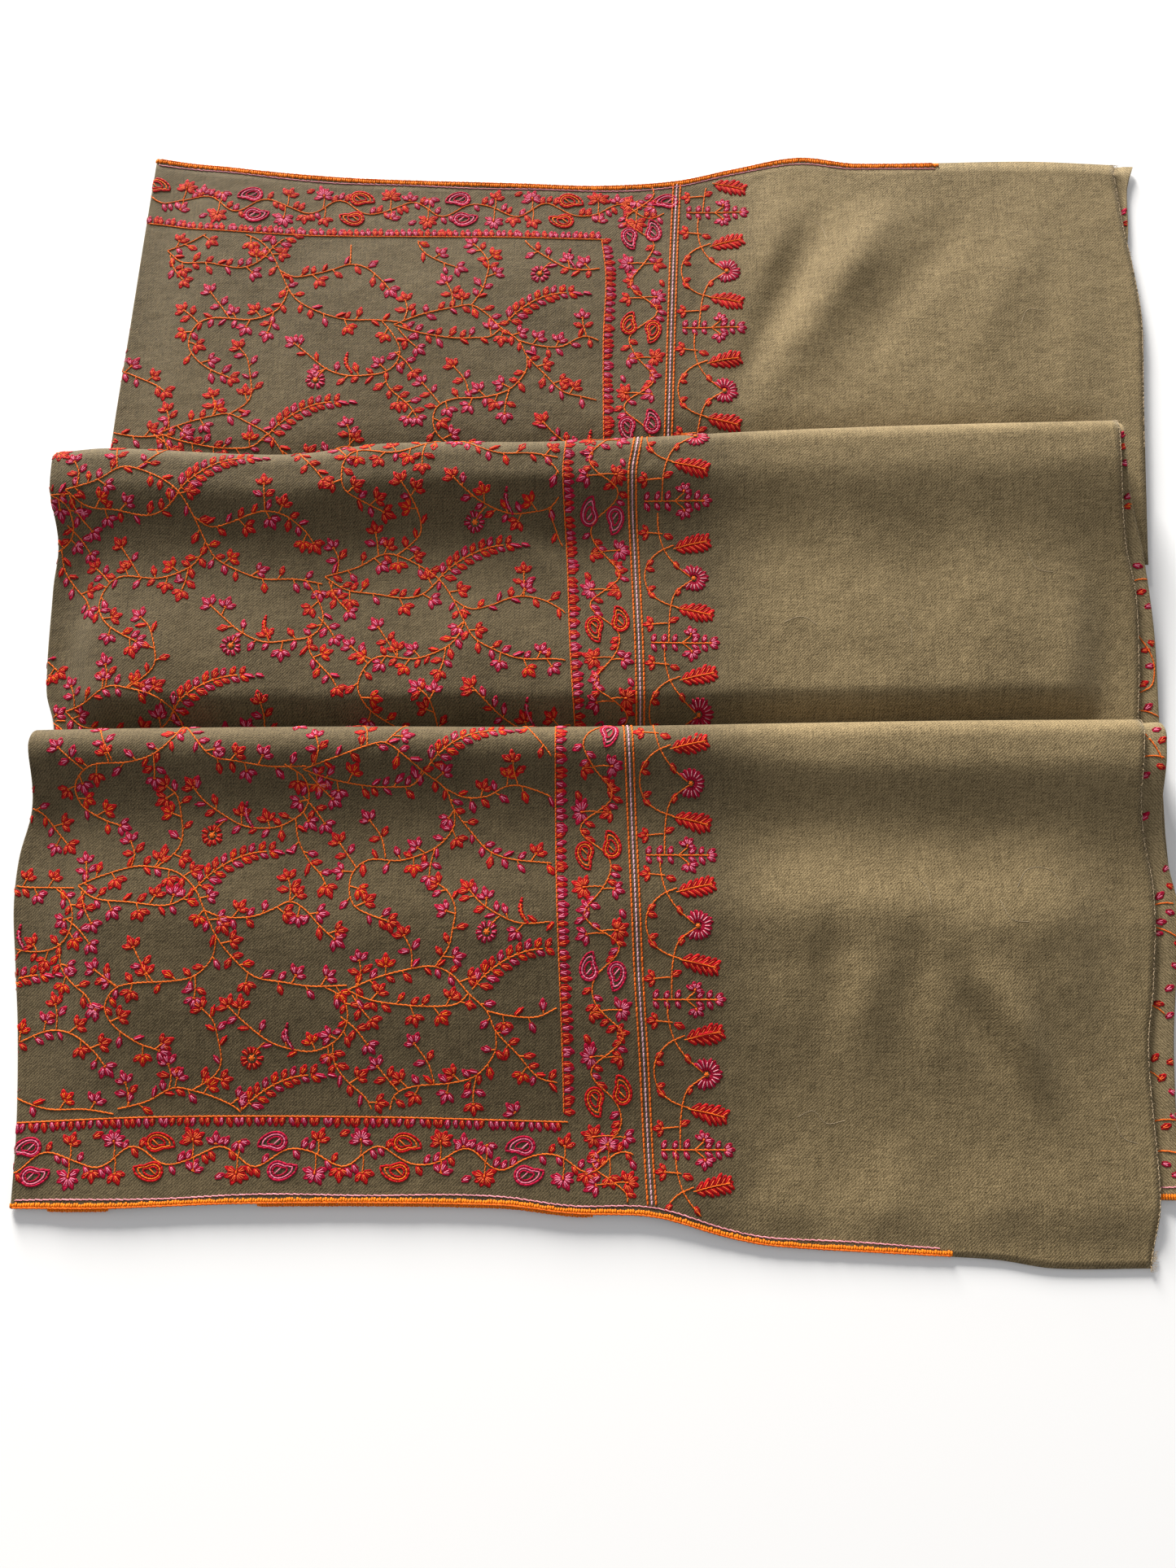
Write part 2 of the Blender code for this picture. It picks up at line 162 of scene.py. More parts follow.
FRONT_CREASES = (
    (240, -250, 36, 10, 116, -9.0), (262, -258, 36, 11, 114, 7.0), (246, -252, 70, 40, 115, 3.5),
    (290, -262, 46, 14, 112, -3.2), (140, -222, 36, 11, 86, -4.2), (166, -222, 36, 11, 92, 3.4),
    (194, -222, 34, 11, 84, -3.4), (322, -262, 60, 13, 98, -3.0),
    (100, -300, 60, 24, 84, 1.3), (-70, -250, 80, 26, 84, 1.3), (-180, -200, 70, 24, 100, -1.3),
    (-290, -250, 80, 26, 92, 1.4), (64, -262, 60, 16, 90, -1.4), (150, -330, 50, 16, 20, -1.5),
    (206, -316, 50, 16, 12, 1.4),
)

# Flutes of the front hem: x, half width, height
HEM_FLUTES = (
    (84, 13, -1.5), (112, 14, 1.2), (142, 13, -1.4), (176, 15, 1.5), (212, 13, -1.3), (250, 16, 1.3),
)
FLUTE_REACH = 26
print("creases:", len(BACK_CREASES) + len(MIDDLE_CREASES) + len(FRONT_CREASES))

# %% [markdown]
# A table becomes a curve by cubic steps between its rows, with the slope at each row taken from the
# rows beside it. That is as smooth as cloth needs and keeps close to the rows.

# %% Curves through the tables
def smoothstep(share):
    share = np.clip(share, 0, 1)
    return share * share * (3 - 2 * share)


def blend(first, second, share):
    return first + (second - first) * share


def read_curve(rows, at, column=1):
    """Values of a column at places along the first one, on a smooth curve through the rows."""
    table = np.array(sorted(rows), float)
    places, values = table[:, 0], table[:, column]
    at = np.clip(at, places[0], places[-1])
    last = np.clip(np.searchsorted(places, at), 1, len(places) - 1)
    ends = np.arange(len(places))
    low, high = np.maximum(ends - 1, 0), np.minimum(ends + 1, len(places) - 1)
    slopes = (values[high] - values[low]) / (places[high] - places[low])
    span = places[last] - places[last - 1]
    rise = values[last] - values[last - 1]
    share = (at - places[last - 1]) / span
    bend = (slopes[last - 1] * span - rise) * (1 - share) - (slopes[last] * span - rise) * share
    return values[last - 1] + share * rise + share * (1 - share) * bend


print("front hem at the middle in mm:", round(float(read_curve(FRONT_HEM, 0.0))))

# %% [markdown]
# Three more things shape the lying cloth: the creases, the edge of the pleat that the front stretch
# covers, and the faint unevenness of cloth that has been stitched all over. Each is a plain sum of
# smooth waves, so it can be asked for at any place and gives the same answer every time.

# %% Creases, a buried edge and puckers
BURIED_Y = -178
STEP_HEIGHT = (12.5, 16)


def crease_height(rows, x, y):
    """Sum of the ridges and troughs at each place."""
    total = np.zeros(np.broadcast(x, y).shape)
    for crease_x, crease_y, length, width, turn, height in rows:
        angle = math.radians(turn)
        along = (x - crease_x) * math.cos(angle) + (y - crease_y) * math.sin(angle)
        aside = (y - crease_y) * math.cos(angle) - (x - crease_x) * math.sin(angle)
        total = total + height * np.exp(-((along / length) ** 2) - (aside / width) ** 2)
    return total


def buried_step(x, y):
    """Height of the front stretch over the edge of the pleat below it: a slow rise, then a fall."""
    edge = BURIED_Y + 5 * np.sin(x / 90) + 2.5 * np.sin(x / 23)
    right = smoothstep((x - 40) / 80)
    early = 0.6 * smoothstep((edge + 130 - y) / 56) + 0.4 * smoothstep((edge + 74 - y) / 72)
    rise = blend(early, smoothstep((edge + 80 - y) / 88), right)
    fall = 0.22 * smoothstep((edge + 8 - y) / 40) + 0.78 * smoothstep((edge - 4 - y) / 150)
    return blend(*STEP_HEIGHT, right) * rise * (1 - fall)


def puckers(x, y):
    """The faint unevenness of cloth that has been stitched all over, in millimetres."""
    broad = np.sin(x / 21 + 1.7 * np.sin(y / 37)) * np.sin(y / 27 + 1.3 * np.sin(x / 43))
    fine = np.sin(x / 8.3 + 2.1 * np.sin(y / 13)) * np.sin(y / 10.1 + 1.9 * np.sin(x / 17))
    return 0.45 * broad + 0.16 * fine


print("step over the buried edge in mm:", round(float(buried_step(0.0, BURIED_Y)), 1))

# %% [markdown]
# Each stretch is a surface with two coordinates. The first is x. The second, v, runs along the cloth
# from the part that is turned under, round the crown of the pleat, and forward over the field to the
# hem. Working on such a surface, rather than on heights over a flat plan, is what lets the cloth and
# its needlework roll over the crown and out of sight.

# %% The surface of a stretch
class Stretch:
    """One of the three lengths of cloth that show, from its back line to its front line."""

    def __init__(self, back, front, left, raw, turn, creases, pleat=None, hem=None):
        self.back, self.front = back, front
        self.left, self.raw, self.turn = left, raw, turn
        self.creases, self.pleat, self.hem = creases, pleat, hem
        self.slope = SLOPE_REACH if pleat else 0

    def crown_height(self, x):
        return read_curve(self.pleat, x, 2)

    def crown_radius(self, x):
        return (self.crown_height(x) - THREE_LAYERS - PLEAT_CLEARANCE) / 2

    def back_y(self, x):
        """The crown's centre line on a pleat, and the hem on the back stretch."""
        if self.pleat:
            return read_curve(self.pleat, x) - self.crown_radius(x)
        return read_curve(self.back, x)

    def front_y(self, x):
        """The front hem, or where the cloth turns back under the pleat in front."""
        if isinstance(self.front, Stretch):
            return self.front.back_y(x) - PLEAT_RETURN
        return read_curve(self.front, x) + HEM_INSET

    def swell(self, x, y):
        """How high the middle stretch stands over the layers that crowd under it."""
        behind = y - self.front.back_y(x)
        right = smoothstep((x + 40) / 160)
        start = smoothstep((blend(*SWELL_REACH, right) - behind) / SWELL_RISE)
        return blend(*SWELL_HEIGHT, right) * (start * smoothstep((behind - SWELL_GAP) / SWELL_FALL))

    def lying(self, x, y):
        """Height of the cloth where it lies on the layers below it."""
        inward = x - read_curve(self.left, y) - STACK_START
        stack = blend(TWO_LAYERS, THREE_LAYERS, smoothstep(inward / STACK_RISE))
        outward = read_curve(self.raw, y) - x - STACK_START
        edge = np.minimum(inward + LOFT_LEFT, outward)
        share = smoothstep(edge / LOFT_EDGE)
        if isinstance(self.front, Stretch):
            share = share * smoothstep((y - self.front.back_y(x) - LAP_MARGIN) / LAP_FADE)
        if not self.pleat:
            share = share * smoothstep((self.back_y(x) - y) / BACK_FADE)
        raised = LOFT + crease_height(self.creases, x, y)
        raised = (raised + np.hypot(raised, 1)) / 2 + puckers(x, y)
        if self.pleat and not self.hem:
            raised = raised + self.swell(x, y)
        if self.hem:
            return self.lying_by_hem(x, y, stack, share, raised, edge, outward)
        return stack + share * raised

    def lying_by_hem(self, x, y, stack, share, raised, edge, outward):
        """The same for the front stretch, which is pressed flat by its hem and goes over it."""
        past = smoothstep((read_curve(self.front, x) - y) / OVERHANG_DROP)
        share = share * (0.35 + 0.65 * smoothstep((y - self.front_y(x) - 30) / 110)) * (1 - past)
        pressed = smoothstep((self.front_y(x) + 150 - y) / 130) * smoothstep((outward - 10) / 60)
        stack = blend(stack, np.minimum(stack, PRESSED_STACK), pressed)
        ridge = buried_step(x, y) * (0.4 + 0.6 * smoothstep(edge / 70)) * (1 - past)
        height = stack + share * raised + ridge - (stack - SOLID_WALL - TABLE_CLEARANCE) * past
        for flute_x, width, rise in HEM_FLUTES:
            aside = ((x - flute_x) / width) ** 2
            near = np.exp(-aside - ((y - self.front_y(x)) / FLUTE_REACH) ** 2)
            height = height + rise * near * (1 - past)
        return height

    def point(self, x, v):
        """Places on the outer face. v is -2 to -1 on the part turned under, -1 to 0 round the crown,
        then millimetres forward of the crown, a share of the field and a share of the overhang."""
        x, v = np.broadcast_arrays(np.asarray(x, float), np.asarray(v, float))
        y = self.back_y(x) - np.clip(v, 0, self.slope)
        share = np.clip((v - self.slope) / FIELD_SPAN, 0, 1 if self.hem else None)
        y = blend(y, self.front_y(x), share)
        if self.hem:
            y = blend(y, read_curve(self.hem, x), np.clip((v - FIELD_END) / OVERHANG_SPAN, 0, None))
        z = self.lying(x, y)
        if self.pleat:
            radius, crown = self.crown_radius(x), self.crown_height(x)
            fall = read_curve(FRONT_FALL if self.hem else MIDDLE_FALL, x)
            # The crown stays level this far forward before the slope begins
            level = 2 + 10 * smoothstep((x - 40) / 120) if self.hem else 13
            rise = 1 / (1 + (np.clip(v - level, 0, FIELD_END) / fall) ** 2)
            z = blend(z, crown, rise * (1 - smoothstep((v - self.slope) / FIELD_SPAN)))
            angle = -np.clip(v, -1, 0) * math.pi
            back = np.clip(-1 - v, 0, 1)
            lift = (PLEAT_CLEARANCE - SEAM) * (1 - back) ** 2
            round_z = np.where(v > -1, crown - radius * (1 - np.cos(angle)), THREE_LAYERS + SEAM + lift)
            y = np.where(v < 0, self.back_y(x) + radius * np.sin(angle) - PLEAT_RETURN * back, y)
            z = np.where(v < 0, round_z, z)
        return np.stack([x, y, z], -1)

    def outward(self, x, v):
        """Unit normals of the outer face."""
        x, v = np.broadcast_arrays(np.asarray(x, float), np.asarray(v, float))
        least = -2 if self.pleat else 0
        v = np.maximum(v, least)
        step = np.where(v < 0.02, 0.02, 1.0)
        across = self.point(x + 1, v) - self.point(x - 1, v)
        back = self.point(x, np.maximum(least, v - step)) - self.point(x, v + step)
        normal = np.cross(across, back)
        return normal / np.linalg.norm(normal, axis=-1, keepdims=True)

    def inside(self, x, v, depth):
        """Places at a depth below the outer face."""
        return self.point(x, v) - np.asarray(depth, float)[..., None] * self.outward(x, v)

    def v_at(self, x, y):
        """v at a plan place. Past the crown's centre line, y counts on round the crown."""
        start = self.back_y(x)
        forward = start - y
        field = self.slope + FIELD_SPAN * (forward - self.slope) / (start - self.slope - self.front_y(x))
        v = np.where(forward > self.slope, field, forward)
        if self.hem:
            past = (self.front_y(x) - y) / (self.front_y(x) - read_curve(self.hem, x))
            v = np.where(y < self.front_y(x), FIELD_END + OVERHANG_SPAN * past, v)
        if self.pleat:
            v = np.where(forward < 0, forward / (math.pi * self.crown_radius(x)), v)
        return v

    def fold_x(self, v):
        """x where the left fold starts to turn down."""
        y = self.point(-370, np.maximum(v, 0))[..., 1]
        return read_curve(self.left, y) + BEND

    def ends(self, v):
        """x of the raw end and of the right fold below it."""
        y = self.point(355, np.maximum(v, 0))[..., 1]
        return read_curve(self.raw, y), read_curve(self.turn, y)


front = Stretch(
    None, UNDER_HEM, FRONT_LEFT, FRONT_RAW, FRONT_TURN, FRONT_CREASES, FRONT_PLEAT, FRONT_HEM
)
middle = Stretch(None, front, MIDDLE_LEFT, MIDDLE_RAW, MIDDLE_TURN, MIDDLE_CREASES, MIDDLE_PLEAT)
back = Stretch(BACK_HEM, middle, BACK_LEFT, BACK_RAW, BACK_TURN, BACK_CREASES)
STRETCHES = {"back": back, "middle": middle, "front": front}
print("crown height in mm:", round(float(middle.crown_height(0))))

# %% [markdown]
# ## Materials
#
# Wool cloth and thread are both node materials made only from the object's own coordinates. One helper
# adds a node, sets its sockets and joins it up, which keeps each recipe short enough to read.

# %% A small helper for material nodes
def new_material(name):
    material = bpy.data.materials.new(name)
    material.use_nodes = True
    return material, material.node_tree.nodes, material.node_tree.links


def add_node(nodes, links, kind, values=None, sources=None, **settings):
    """A node with its settings, the values of its sockets and what feeds them."""
    node = nodes.new(kind)
    for key, value in settings.items():
        setattr(node, key, value)
    for socket, value in (values or {}).items():
        node.inputs[socket].default_value = value
    for socket, source in (sources or {}).items():
        links.new(source, node.inputs[socket])
    return node.outputs[0]


# %% [markdown]
# ## The twill
#
# Fine wool twill shows slanting ribs, here 1.45 mm apart and rising to the right. The ribs are a sine
# of the cloth's own coordinates, kept in a UV map in metres, so that they bend with every fold. Noise
# drawn out along each thread direction gives the slubs and streaks of hand-spun yarn, and a sheen
# stands for the short fibres that catch the light. Where the cloth is stitched all over, its colour is
# darkened as painted shade for the small shadows round the thread.

# %% Twill cloth
RIB_PITCH = 1.45 * MM
RIB_ACROSS = RIB_PITCH * math.sqrt(2)


def twill(name, dark, light, streak, relief, stitched_shade=1.0):
    """A twill of two tones; streak is how uneven its yarn is, relief the height of its ribs, and the last
    argument the painted shade of the part that is stitched all over: there the colour is darkened to
    that share, for the small shadows round the thread."""
    material, nodes, links = new_material(name)
    shader = nodes["Principled BSDF"]
    place = add_node(nodes, links, "ShaderNodeUVMap", uv_map="cloth")

    def math_node(operation, first, second=None):
        values, sources = {}, {}
        for socket, item in ((0, first), (1, second)):
            if isinstance(item, bpy.types.NodeSocket):
                sources[socket] = item
            elif item is not None:
                values[socket] = item
        return add_node(nodes, links, "ShaderNodeMath", values, sources, operation=operation)

    def noise(scale, stretch_x, stretch_y, detail=2.0):
        spread = add_node(
            nodes, links, "ShaderNodeMapping", {"Scale": (stretch_x, stretch_y, 1)}, {"Vector": place}
        )
        settings = {"Scale": scale, "Detail": detail, "Roughness": 0.6}
        return add_node(nodes, links, "ShaderNodeTexNoise", settings, {"Vector": spread})

    split = nodes.new("ShaderNodeSeparateXYZ")
    links.new(place, split.inputs[0])
    wobble = math_node("MULTIPLY", noise(240, 1, 1), 0.0030)
    slant = math_node("SUBTRACT", split.outputs[0], split.outputs[1])
    slant = math_node("ADD", slant, wobble)
    rib = math_node("SINE", math_node("MULTIPLY", slant, 2 * math.pi / RIB_ACROSS))
    lean = math_node("ADD", split.outputs[0], split.outputs[1])
    float_end = math_node("SINE", math_node("MULTIPLY", lean, 2 * math.pi / (0.62 * RIB_ACROSS)))
    rib = math_node("ADD", math_node("MULTIPLY", float_end, 0.35), rib)
    warp = math_node("SUBTRACT", noise(900, 1, 0.10), 0.5)
    weft = math_node("SUBTRACT", noise(900, 0.09, 1), 0.5)
    slubs = math_node("MULTIPLY", math_node("SUBTRACT", noise(330, 1, 0.05), 0.5), 0.4)
    grain = math_node("SUBTRACT", noise(1150, 1, 1), 0.5)
    cloudy = math_node("SUBTRACT", noise(9, 1, 1, 3.0), 0.5)
    yarn = math_node("MULTIPLY", math_node("ADD", math_node("ADD", warp, weft), slubs), streak)
    tone = math_node("ADD", math_node("MULTIPLY", rib, 0.16), 0.5)
    tone = math_node("ADD", tone, yarn)
    tone = math_node("ADD", tone, math_node("MULTIPLY", grain, 1.5))
    tone = math_node("ADD", tone, math_node("MULTIPLY", cloudy, 0.35))
    # Painted shade: the colour of the stitched part is darkened to the last argument's share, for the
    # small shadows round the thread
    stitched = add_node(
        nodes, links, "ShaderNodeMapRange",
        {"From Min": 0.050, "From Max": 0.13, "To Min": stitched_shade, "To Max": 1.0},
        {"Value": split.outputs[0]}, interpolation_type="SMOOTHSTEP",
    )
    ramp = nodes.new("ShaderNodeValToRGB")
    ramp.color_ramp.elements[0].color = (*dark, 1)
    ramp.color_ramp.elements[1].color = (*light, 1)
    ramp.color_ramp.elements[0].position = 0.12
    ramp.color_ramp.elements[1].position = 0.92
    links.new(tone, ramp.inputs[0])
    shaded = nodes.new("ShaderNodeVectorMath")
    shaded.operation = "SCALE"
    links.new(ramp.outputs[0], shaded.inputs[0])
    links.new(stitched, shaded.inputs["Scale"])
    links.new(shaded.outputs[0], shader.inputs["Base Color"])
    height = math_node("ADD", math_node("MULTIPLY", rib, 0.5), math_node("MULTIPLY", yarn, 0.8))
    height = math_node("ADD", height, math_node("MULTIPLY", grain, 0.4))
    crumple = add_node(
        nodes, links, "ShaderNodeBump", {"Strength": 0.75, "Distance": 0.0016},
        {"Height": noise(52, 1, 1, 3.0)},
    )
    bump = add_node(
        nodes, links, "ShaderNodeBump", {"Strength": relief, "Distance": 0.00035},
        {"Height": height, "Normal": crumple},
    )
    links.new(bump, shader.inputs["Normal"])
    shader.inputs["Roughness"].default_value = 0.88
    shader.inputs["Specular IOR Level"].default_value = 0.25
    shader.inputs["Sheen Weight"].default_value = 0.22
    shader.inputs["Sheen Roughness"].default_value = 0.45
    shader.inputs["Sheen Tint"].default_value = (0.80, 0.72, 0.56, 1)
    return material


# The face's last number, 0.51, is painted shade: its stitched part is darkened for the small shadows round
# the thread
face_cloth = twill("shawl_face_twill", (0.059, 0.040, 0.015), (0.318, 0.234, 0.118), 0.60, 0.24, 0.51)
reverse_cloth = twill("shawl_reverse_twill", (0.085, 0.060, 0.026), (0.320, 0.240, 0.128), 0.56, 0.30)
inner_cloth = twill("shawl_inner_twill", (0.065, 0.047, 0.022), (0.240, 0.184, 0.104), 0.30, 0.5)
print("cloth materials: 3")

# %% [markdown]
# ## The cloth itself
#
# Each stretch is a fine grid laid on its surface and given the thickness of the wool. The grid starts
# a little way under the left fold, turns up round it and runs to the raw end. A grid from one operator,
# moved into place as an array, keeps even faces and gives the weave its coordinates at the same time.

# %% Lay a grid on a surface
CLOTH = 0.8
CROWN_ROWS, SLOPE_STEP, FIELD_STEP = 18, 4, 5


def crosswise_rows(stretch):
    """v of each row of the grid, closer together round the crown."""
    rows = []
    if stretch.pleat:
        rows += list(np.linspace(-2, -1, 8)[:-1])
        rows += list(np.linspace(-1, 0, CROWN_ROWS)[:-1])
        rows += list(np.arange(0, SLOPE_REACH, SLOPE_STEP))
    rows += list(np.linspace(stretch.slope, stretch.slope + FIELD_SPAN, int(FIELD_SPAN / FIELD_STEP)))
    if stretch.hem:
        rows += list(np.linspace(FIELD_END, FIELD_END + OVERHANG_SPAN, 9)[1:])
    return np.array(rows)


def cloth_length(stretch, x, v):
    """Distance along the cloth from the crown, forward being negative."""
    y = stretch.point(x, np.maximum(v, 0))[..., 1]
    if not stretch.pleat:
        return y
    forward = y - stretch.back_y(x)
    round_crown = -np.clip(v, -1, 0) * math.pi * stretch.crown_radius(x)
    return forward + round_crown + np.clip(-1 - v, 0, 1) * PLEAT_RETURN + stretch.back_y(0)


def laid_cloth(name, places, along, across, material, thickness=CLOTH):
    """A grid with given places, in millimetres, and cloth coordinates, thickened inwards."""
    rows, columns = places.shape[:2]
    grid = bmesh.new()
    bmesh.ops.create_grid(grid, x_segments=columns - 1, y_segments=rows - 1, size=0.5)
    data = bpy.data.meshes.new(name)
    grid.to_mesh(data)
    grid.free()
    spots = np.empty(len(data.vertices) * 3, np.float32)
    data.vertices.foreach_get("co", spots)
    spots = spots.reshape(-1, 3)
    column = np.rint((spots[:, 0] + 0.5) * (columns - 1)).astype(int)
    row = np.rint((0.5 - spots[:, 1]) * (rows - 1)).astype(int)
    placed = (places[row, column] - np.array([*ORIGIN, 0])) * MM
    data.vertices.foreach_set("co", placed.astype(np.float32).ravel())
    corner = np.empty(len(data.loops), np.int32)
    data.loops.foreach_get("vertex_index", corner)
    weave = np.stack([along[row, column], across[row, column]], -1)[corner] * MM
    data.uv_layers.new(name="cloth").data.foreach_set("uv", weave.astype(np.float32).ravel())
    data.update()
    data.shade_smooth()
    data.materials.append(material)
    made = bpy.data.objects.new(name, data)
    bpy.context.scene.collection.objects.link(made)
    if thickness:
        wall = made.modifiers.new("thickness", "SOLIDIFY")
        wall.thickness = thickness * MM
        wall.offset = -1
    return made


print("rows across each stretch:", [len(crosswise_rows(stretch)) for stretch in STRETCHES.values()])

# %% [markdown]
# At its left side the folded shawl has no edge, only a soft round bend where the cloth goes under. The
# grid begins with a short leg below, goes half round the bend in small steps and then runs level to
# the raw end, so the fold needs no second piece and no seam.

# %% The three stretches of the top layer
TOP_COLUMNS = 160
LEG = 14
TURN_ARC = np.linspace(math.pi, 0, 10)


def top_cloth(name, stretch):
    """From under the left fold, round it and across to the raw end."""
    v = crosswise_rows(stretch)[:, None]
    fold = stretch.fold_x(v)
    raw = stretch.ends(v)[0]
    arc = TURN_ARC[None, :]
    leg = np.array([LEG, LEG / 2])[None, :]
    share = np.linspace(0, 1, TOP_COLUMNS)[None, 1:]
    level = blend(fold, raw, share)
    x = np.concatenate([fold + leg, fold - BEND * np.sin(arc), level], 1)
    depth = np.concatenate(
        [2 * BEND + 0 * (v + leg), 0 * v + BEND * (1 - np.cos(arc)), 0 * (v + share)], 1
    )
    along = np.concatenate([fold - BEND * math.pi - leg, fold - BEND * arc, level], 1)
    v = v + 0 * x
    places = stretch.inside(x, v, depth)
    return laid_cloth(name, places, along, cloth_length(stretch, x, v), face_cloth)


top_layers = {name: top_cloth(name + "_cloth", stretch) for name, stretch in STRETCHES.items()}
for name, made in top_layers.items():
    print(made.name, len(made.data.polygons), "faces")

# %% [markdown]
# The next layer lies reverse side up below the top one. It shows as a narrow strip past the raw end
# and turns under at the right fold. The strip is its own sheet, tucked a little way in.

# %% The strips of the layer below
COVER = {"back": 40, "middle": 23, "front": 22}
FLAT_COLUMNS = 10


def sunk(x, raw):
    """How far the strip sinks beside the raw end, in millimetres."""
    return 1.3 * np.exp(-(((x - raw - 2) / 3.5) ** 2))


def strip_cloth(name, stretch):
    """From under the raw end out to the right fold and back below itself."""
    rows = crosswise_rows(stretch)
    v = rows[rows <= stretch.slope + FIELD_SPAN][:, None]
    raw, fold = stretch.ends(v)
    start = raw - COVER[name]
    turn = np.maximum(fold - BEND, raw - COVER[name] / 2)
    flat = np.linspace(0, 1, FLAT_COLUMNS)[None, :]
    arc = TURN_ARC[::-1][None, 1:]
    x = np.concatenate([blend(start, turn, flat), turn + BEND * np.sin(arc), start + 0 * v], 1)
    depth = np.concatenate(
        [UNDER + 0 * v + 0 * flat, UNDER + 0 * v + BEND * (1 - np.cos(arc)),
         UNDER + 2 * BEND + 0 * v], 1,
    )
    along = np.concatenate([blend(start, turn, flat), turn + BEND * arc, 2 * turn - start + 0 * v], 1)
    depth[:, :FLAT_COLUMNS] += sunk(x, raw)[:, :FLAT_COLUMNS]
    v = v + 0 * x
    places = stretch.inside(x, v, depth)
    return laid_cloth(name + "_strip", places, along, -cloth_length(stretch, x, v), reverse_cloth)


strips = {name: strip_cloth(name, stretch) for name, stretch in STRETCHES.items()}
print("strips:", [made.name for made in strips.values()])

# %% [markdown]
# What lies inside the fold never shows except at its edges, so it is one closed form. Its outline
# follows the layers above it along each lengthwise line, and two rounded lips at either hem read as
# the edges of the layers. The rings of points are joined by a grid whose seam is then welded.

# %% The layers inside
INNER_LEFT = ((392, -318), (-355, -337))
INNER_RIGHT = ((392, 336), (-355, 310))
HEM_LIPS = ((0.8, 0.94), (1.4, 0.75), (0.8, 0.56), (-1.2, 0.5), (0.8, 0.44), (1.4, 0.25), (0.8, 0.06))
HEM_SETBACK = 3
LAP_CLEARANCE = 0.6
INNER_COLUMNS = 60
INNER_REACH = (-340, 325)


def read_line(rows, at):
    (start, first), (end, last) = rows
    return blend(first, last, (at - start) / (end - start))


def inner_x(stretch, share, v):
    """x of a lengthwise line, found from the row that it crosses."""
    rough = blend(*INNER_REACH, share)
    y = stretch.point(rough, np.maximum(v, 0))[..., 1]
    return blend(read_line(INNER_LEFT, y), read_line(INNER_RIGHT, y), share)


def inner_outline(share):
    """The closed ring of places under the top layer along one lengthwise line."""
    def under(stretch, v):
        v = np.atleast_1d(np.asarray(v, float))
        return stretch.inside(inner_x(stretch, share, v), v, UNDER + 0 * v)

    def lips(point, outward):
        x, y, z = point
        return np.array([(x, y + outward * out, z * level) for out, level in HEM_LIPS])

    start = under(back, 0)[0] - (0, HEM_SETBACK, 0)
    ring = [lips(start, 1)[::-1], start[None, :], under(back, crosswise_rows(back)[1:])]
    for stretch in (middle, front):
        rows = crosswise_rows(stretch)
        rise = under(stretch, -2) - (0, LAP_CLEARANCE, 0)
        shown = rows[(rows > -2) & (rows <= FIELD_END)]
        ring += [ring[-1][-1:] - (0, LAP_CLEARANCE, 0), rise, under(stretch, shown)]
    ring.append(lips(ring[-1][-1], -1))
    ring = np.concatenate(ring)
    floor = np.linspace(ring[-1], ring[0], 24)[1:-1]
    floor[:, 2] = 0
    near, far = [(*ring[-1][:2], 0)], [(*ring[0][:2], 0)]
    return np.concatenate([ring, near, floor, far])


def inner_form(name):
    rings = np.stack([inner_outline(share) for share in np.linspace(0, 1, INNER_COLUMNS)], 1)
    rings = np.concatenate([rings, rings[:1]])
    made = laid_cloth(name, rings, rings[..., 0], rings[..., 1] + rings[..., 2], inner_cloth, 0)
    mesh = bmesh.new()
    mesh.from_mesh(made.data)
    bmesh.ops.remove_doubles(mesh, verts=mesh.verts, dist=0.00001)
    open_edges = [edge for edge in mesh.edges if edge.is_boundary]
    bmesh.ops.holes_fill(mesh, edges=open_edges, sides=0)
    bmesh.ops.triangulate(mesh, faces=[face for face in mesh.faces if len(face.verts) > 4])
    mesh.to_mesh(made.data)
    mesh.free()
    return made


inner_layers = inner_form("inner_layers")
print("inner layers:", len(inner_layers.data.polygons), "faces")

# %% [markdown]
# ## Thread
#
# Every stitch is one small spindle, shaped once and then copied to its place by arrays: along the line
# between its two needle holes, with its back to the cloth. Each stitch carries its own tint and its
# own coordinates, so one material per colour family can twist the ply along every stitch.

# %% Thread material
def thread(name):
    material, nodes, links = new_material(name)
    shader = nodes["Principled BSDF"]
    tint = add_node(nodes, links, "ShaderNodeAttribute", attribute_name="tint")
    lay = nodes.new("ShaderNodeAttribute")
    lay.attribute_name = "lay"
    twist = add_node(
        nodes, links, "ShaderNodeTexWave", {"Scale": 420, "Distortion": 1.5, "Detail": 1.0},
        {"Vector": lay.outputs["Vector"]}, wave_type="BANDS", bands_direction="DIAGONAL",
    )
    shade = add_node(
        nodes, links, "ShaderNodeMapRange", {"To Min": 0.88, "To Max": 1.12}, {"Value": twist}
    )
    colour = nodes.new("ShaderNodeVectorMath")
    colour.operation = "SCALE"
    links.new(tint, colour.inputs[0])
    links.new(shade, colour.inputs["Scale"])
    links.new(colour.outputs[0], shader.inputs["Base Color"])
    bump = add_node(
        nodes, links, "ShaderNodeBump", {"Strength": 0.4, "Distance": 0.0002}, {"Height": twist}
    )
    links.new(bump, shader.inputs["Normal"])
    shader.inputs["Roughness"].default_value = 0.66
    shader.inputs["Specular IOR Level"].default_value = 0.08
    return material


FAMILIES = ("orange", "red", "pink", "wool")
threads = {family: thread(family + "_thread") for family in FAMILIES}
SLOT = {"orange": "orange_thread", "red": "red_thread", "pink": "pink_thread", "wool": "shawl_reverse"}

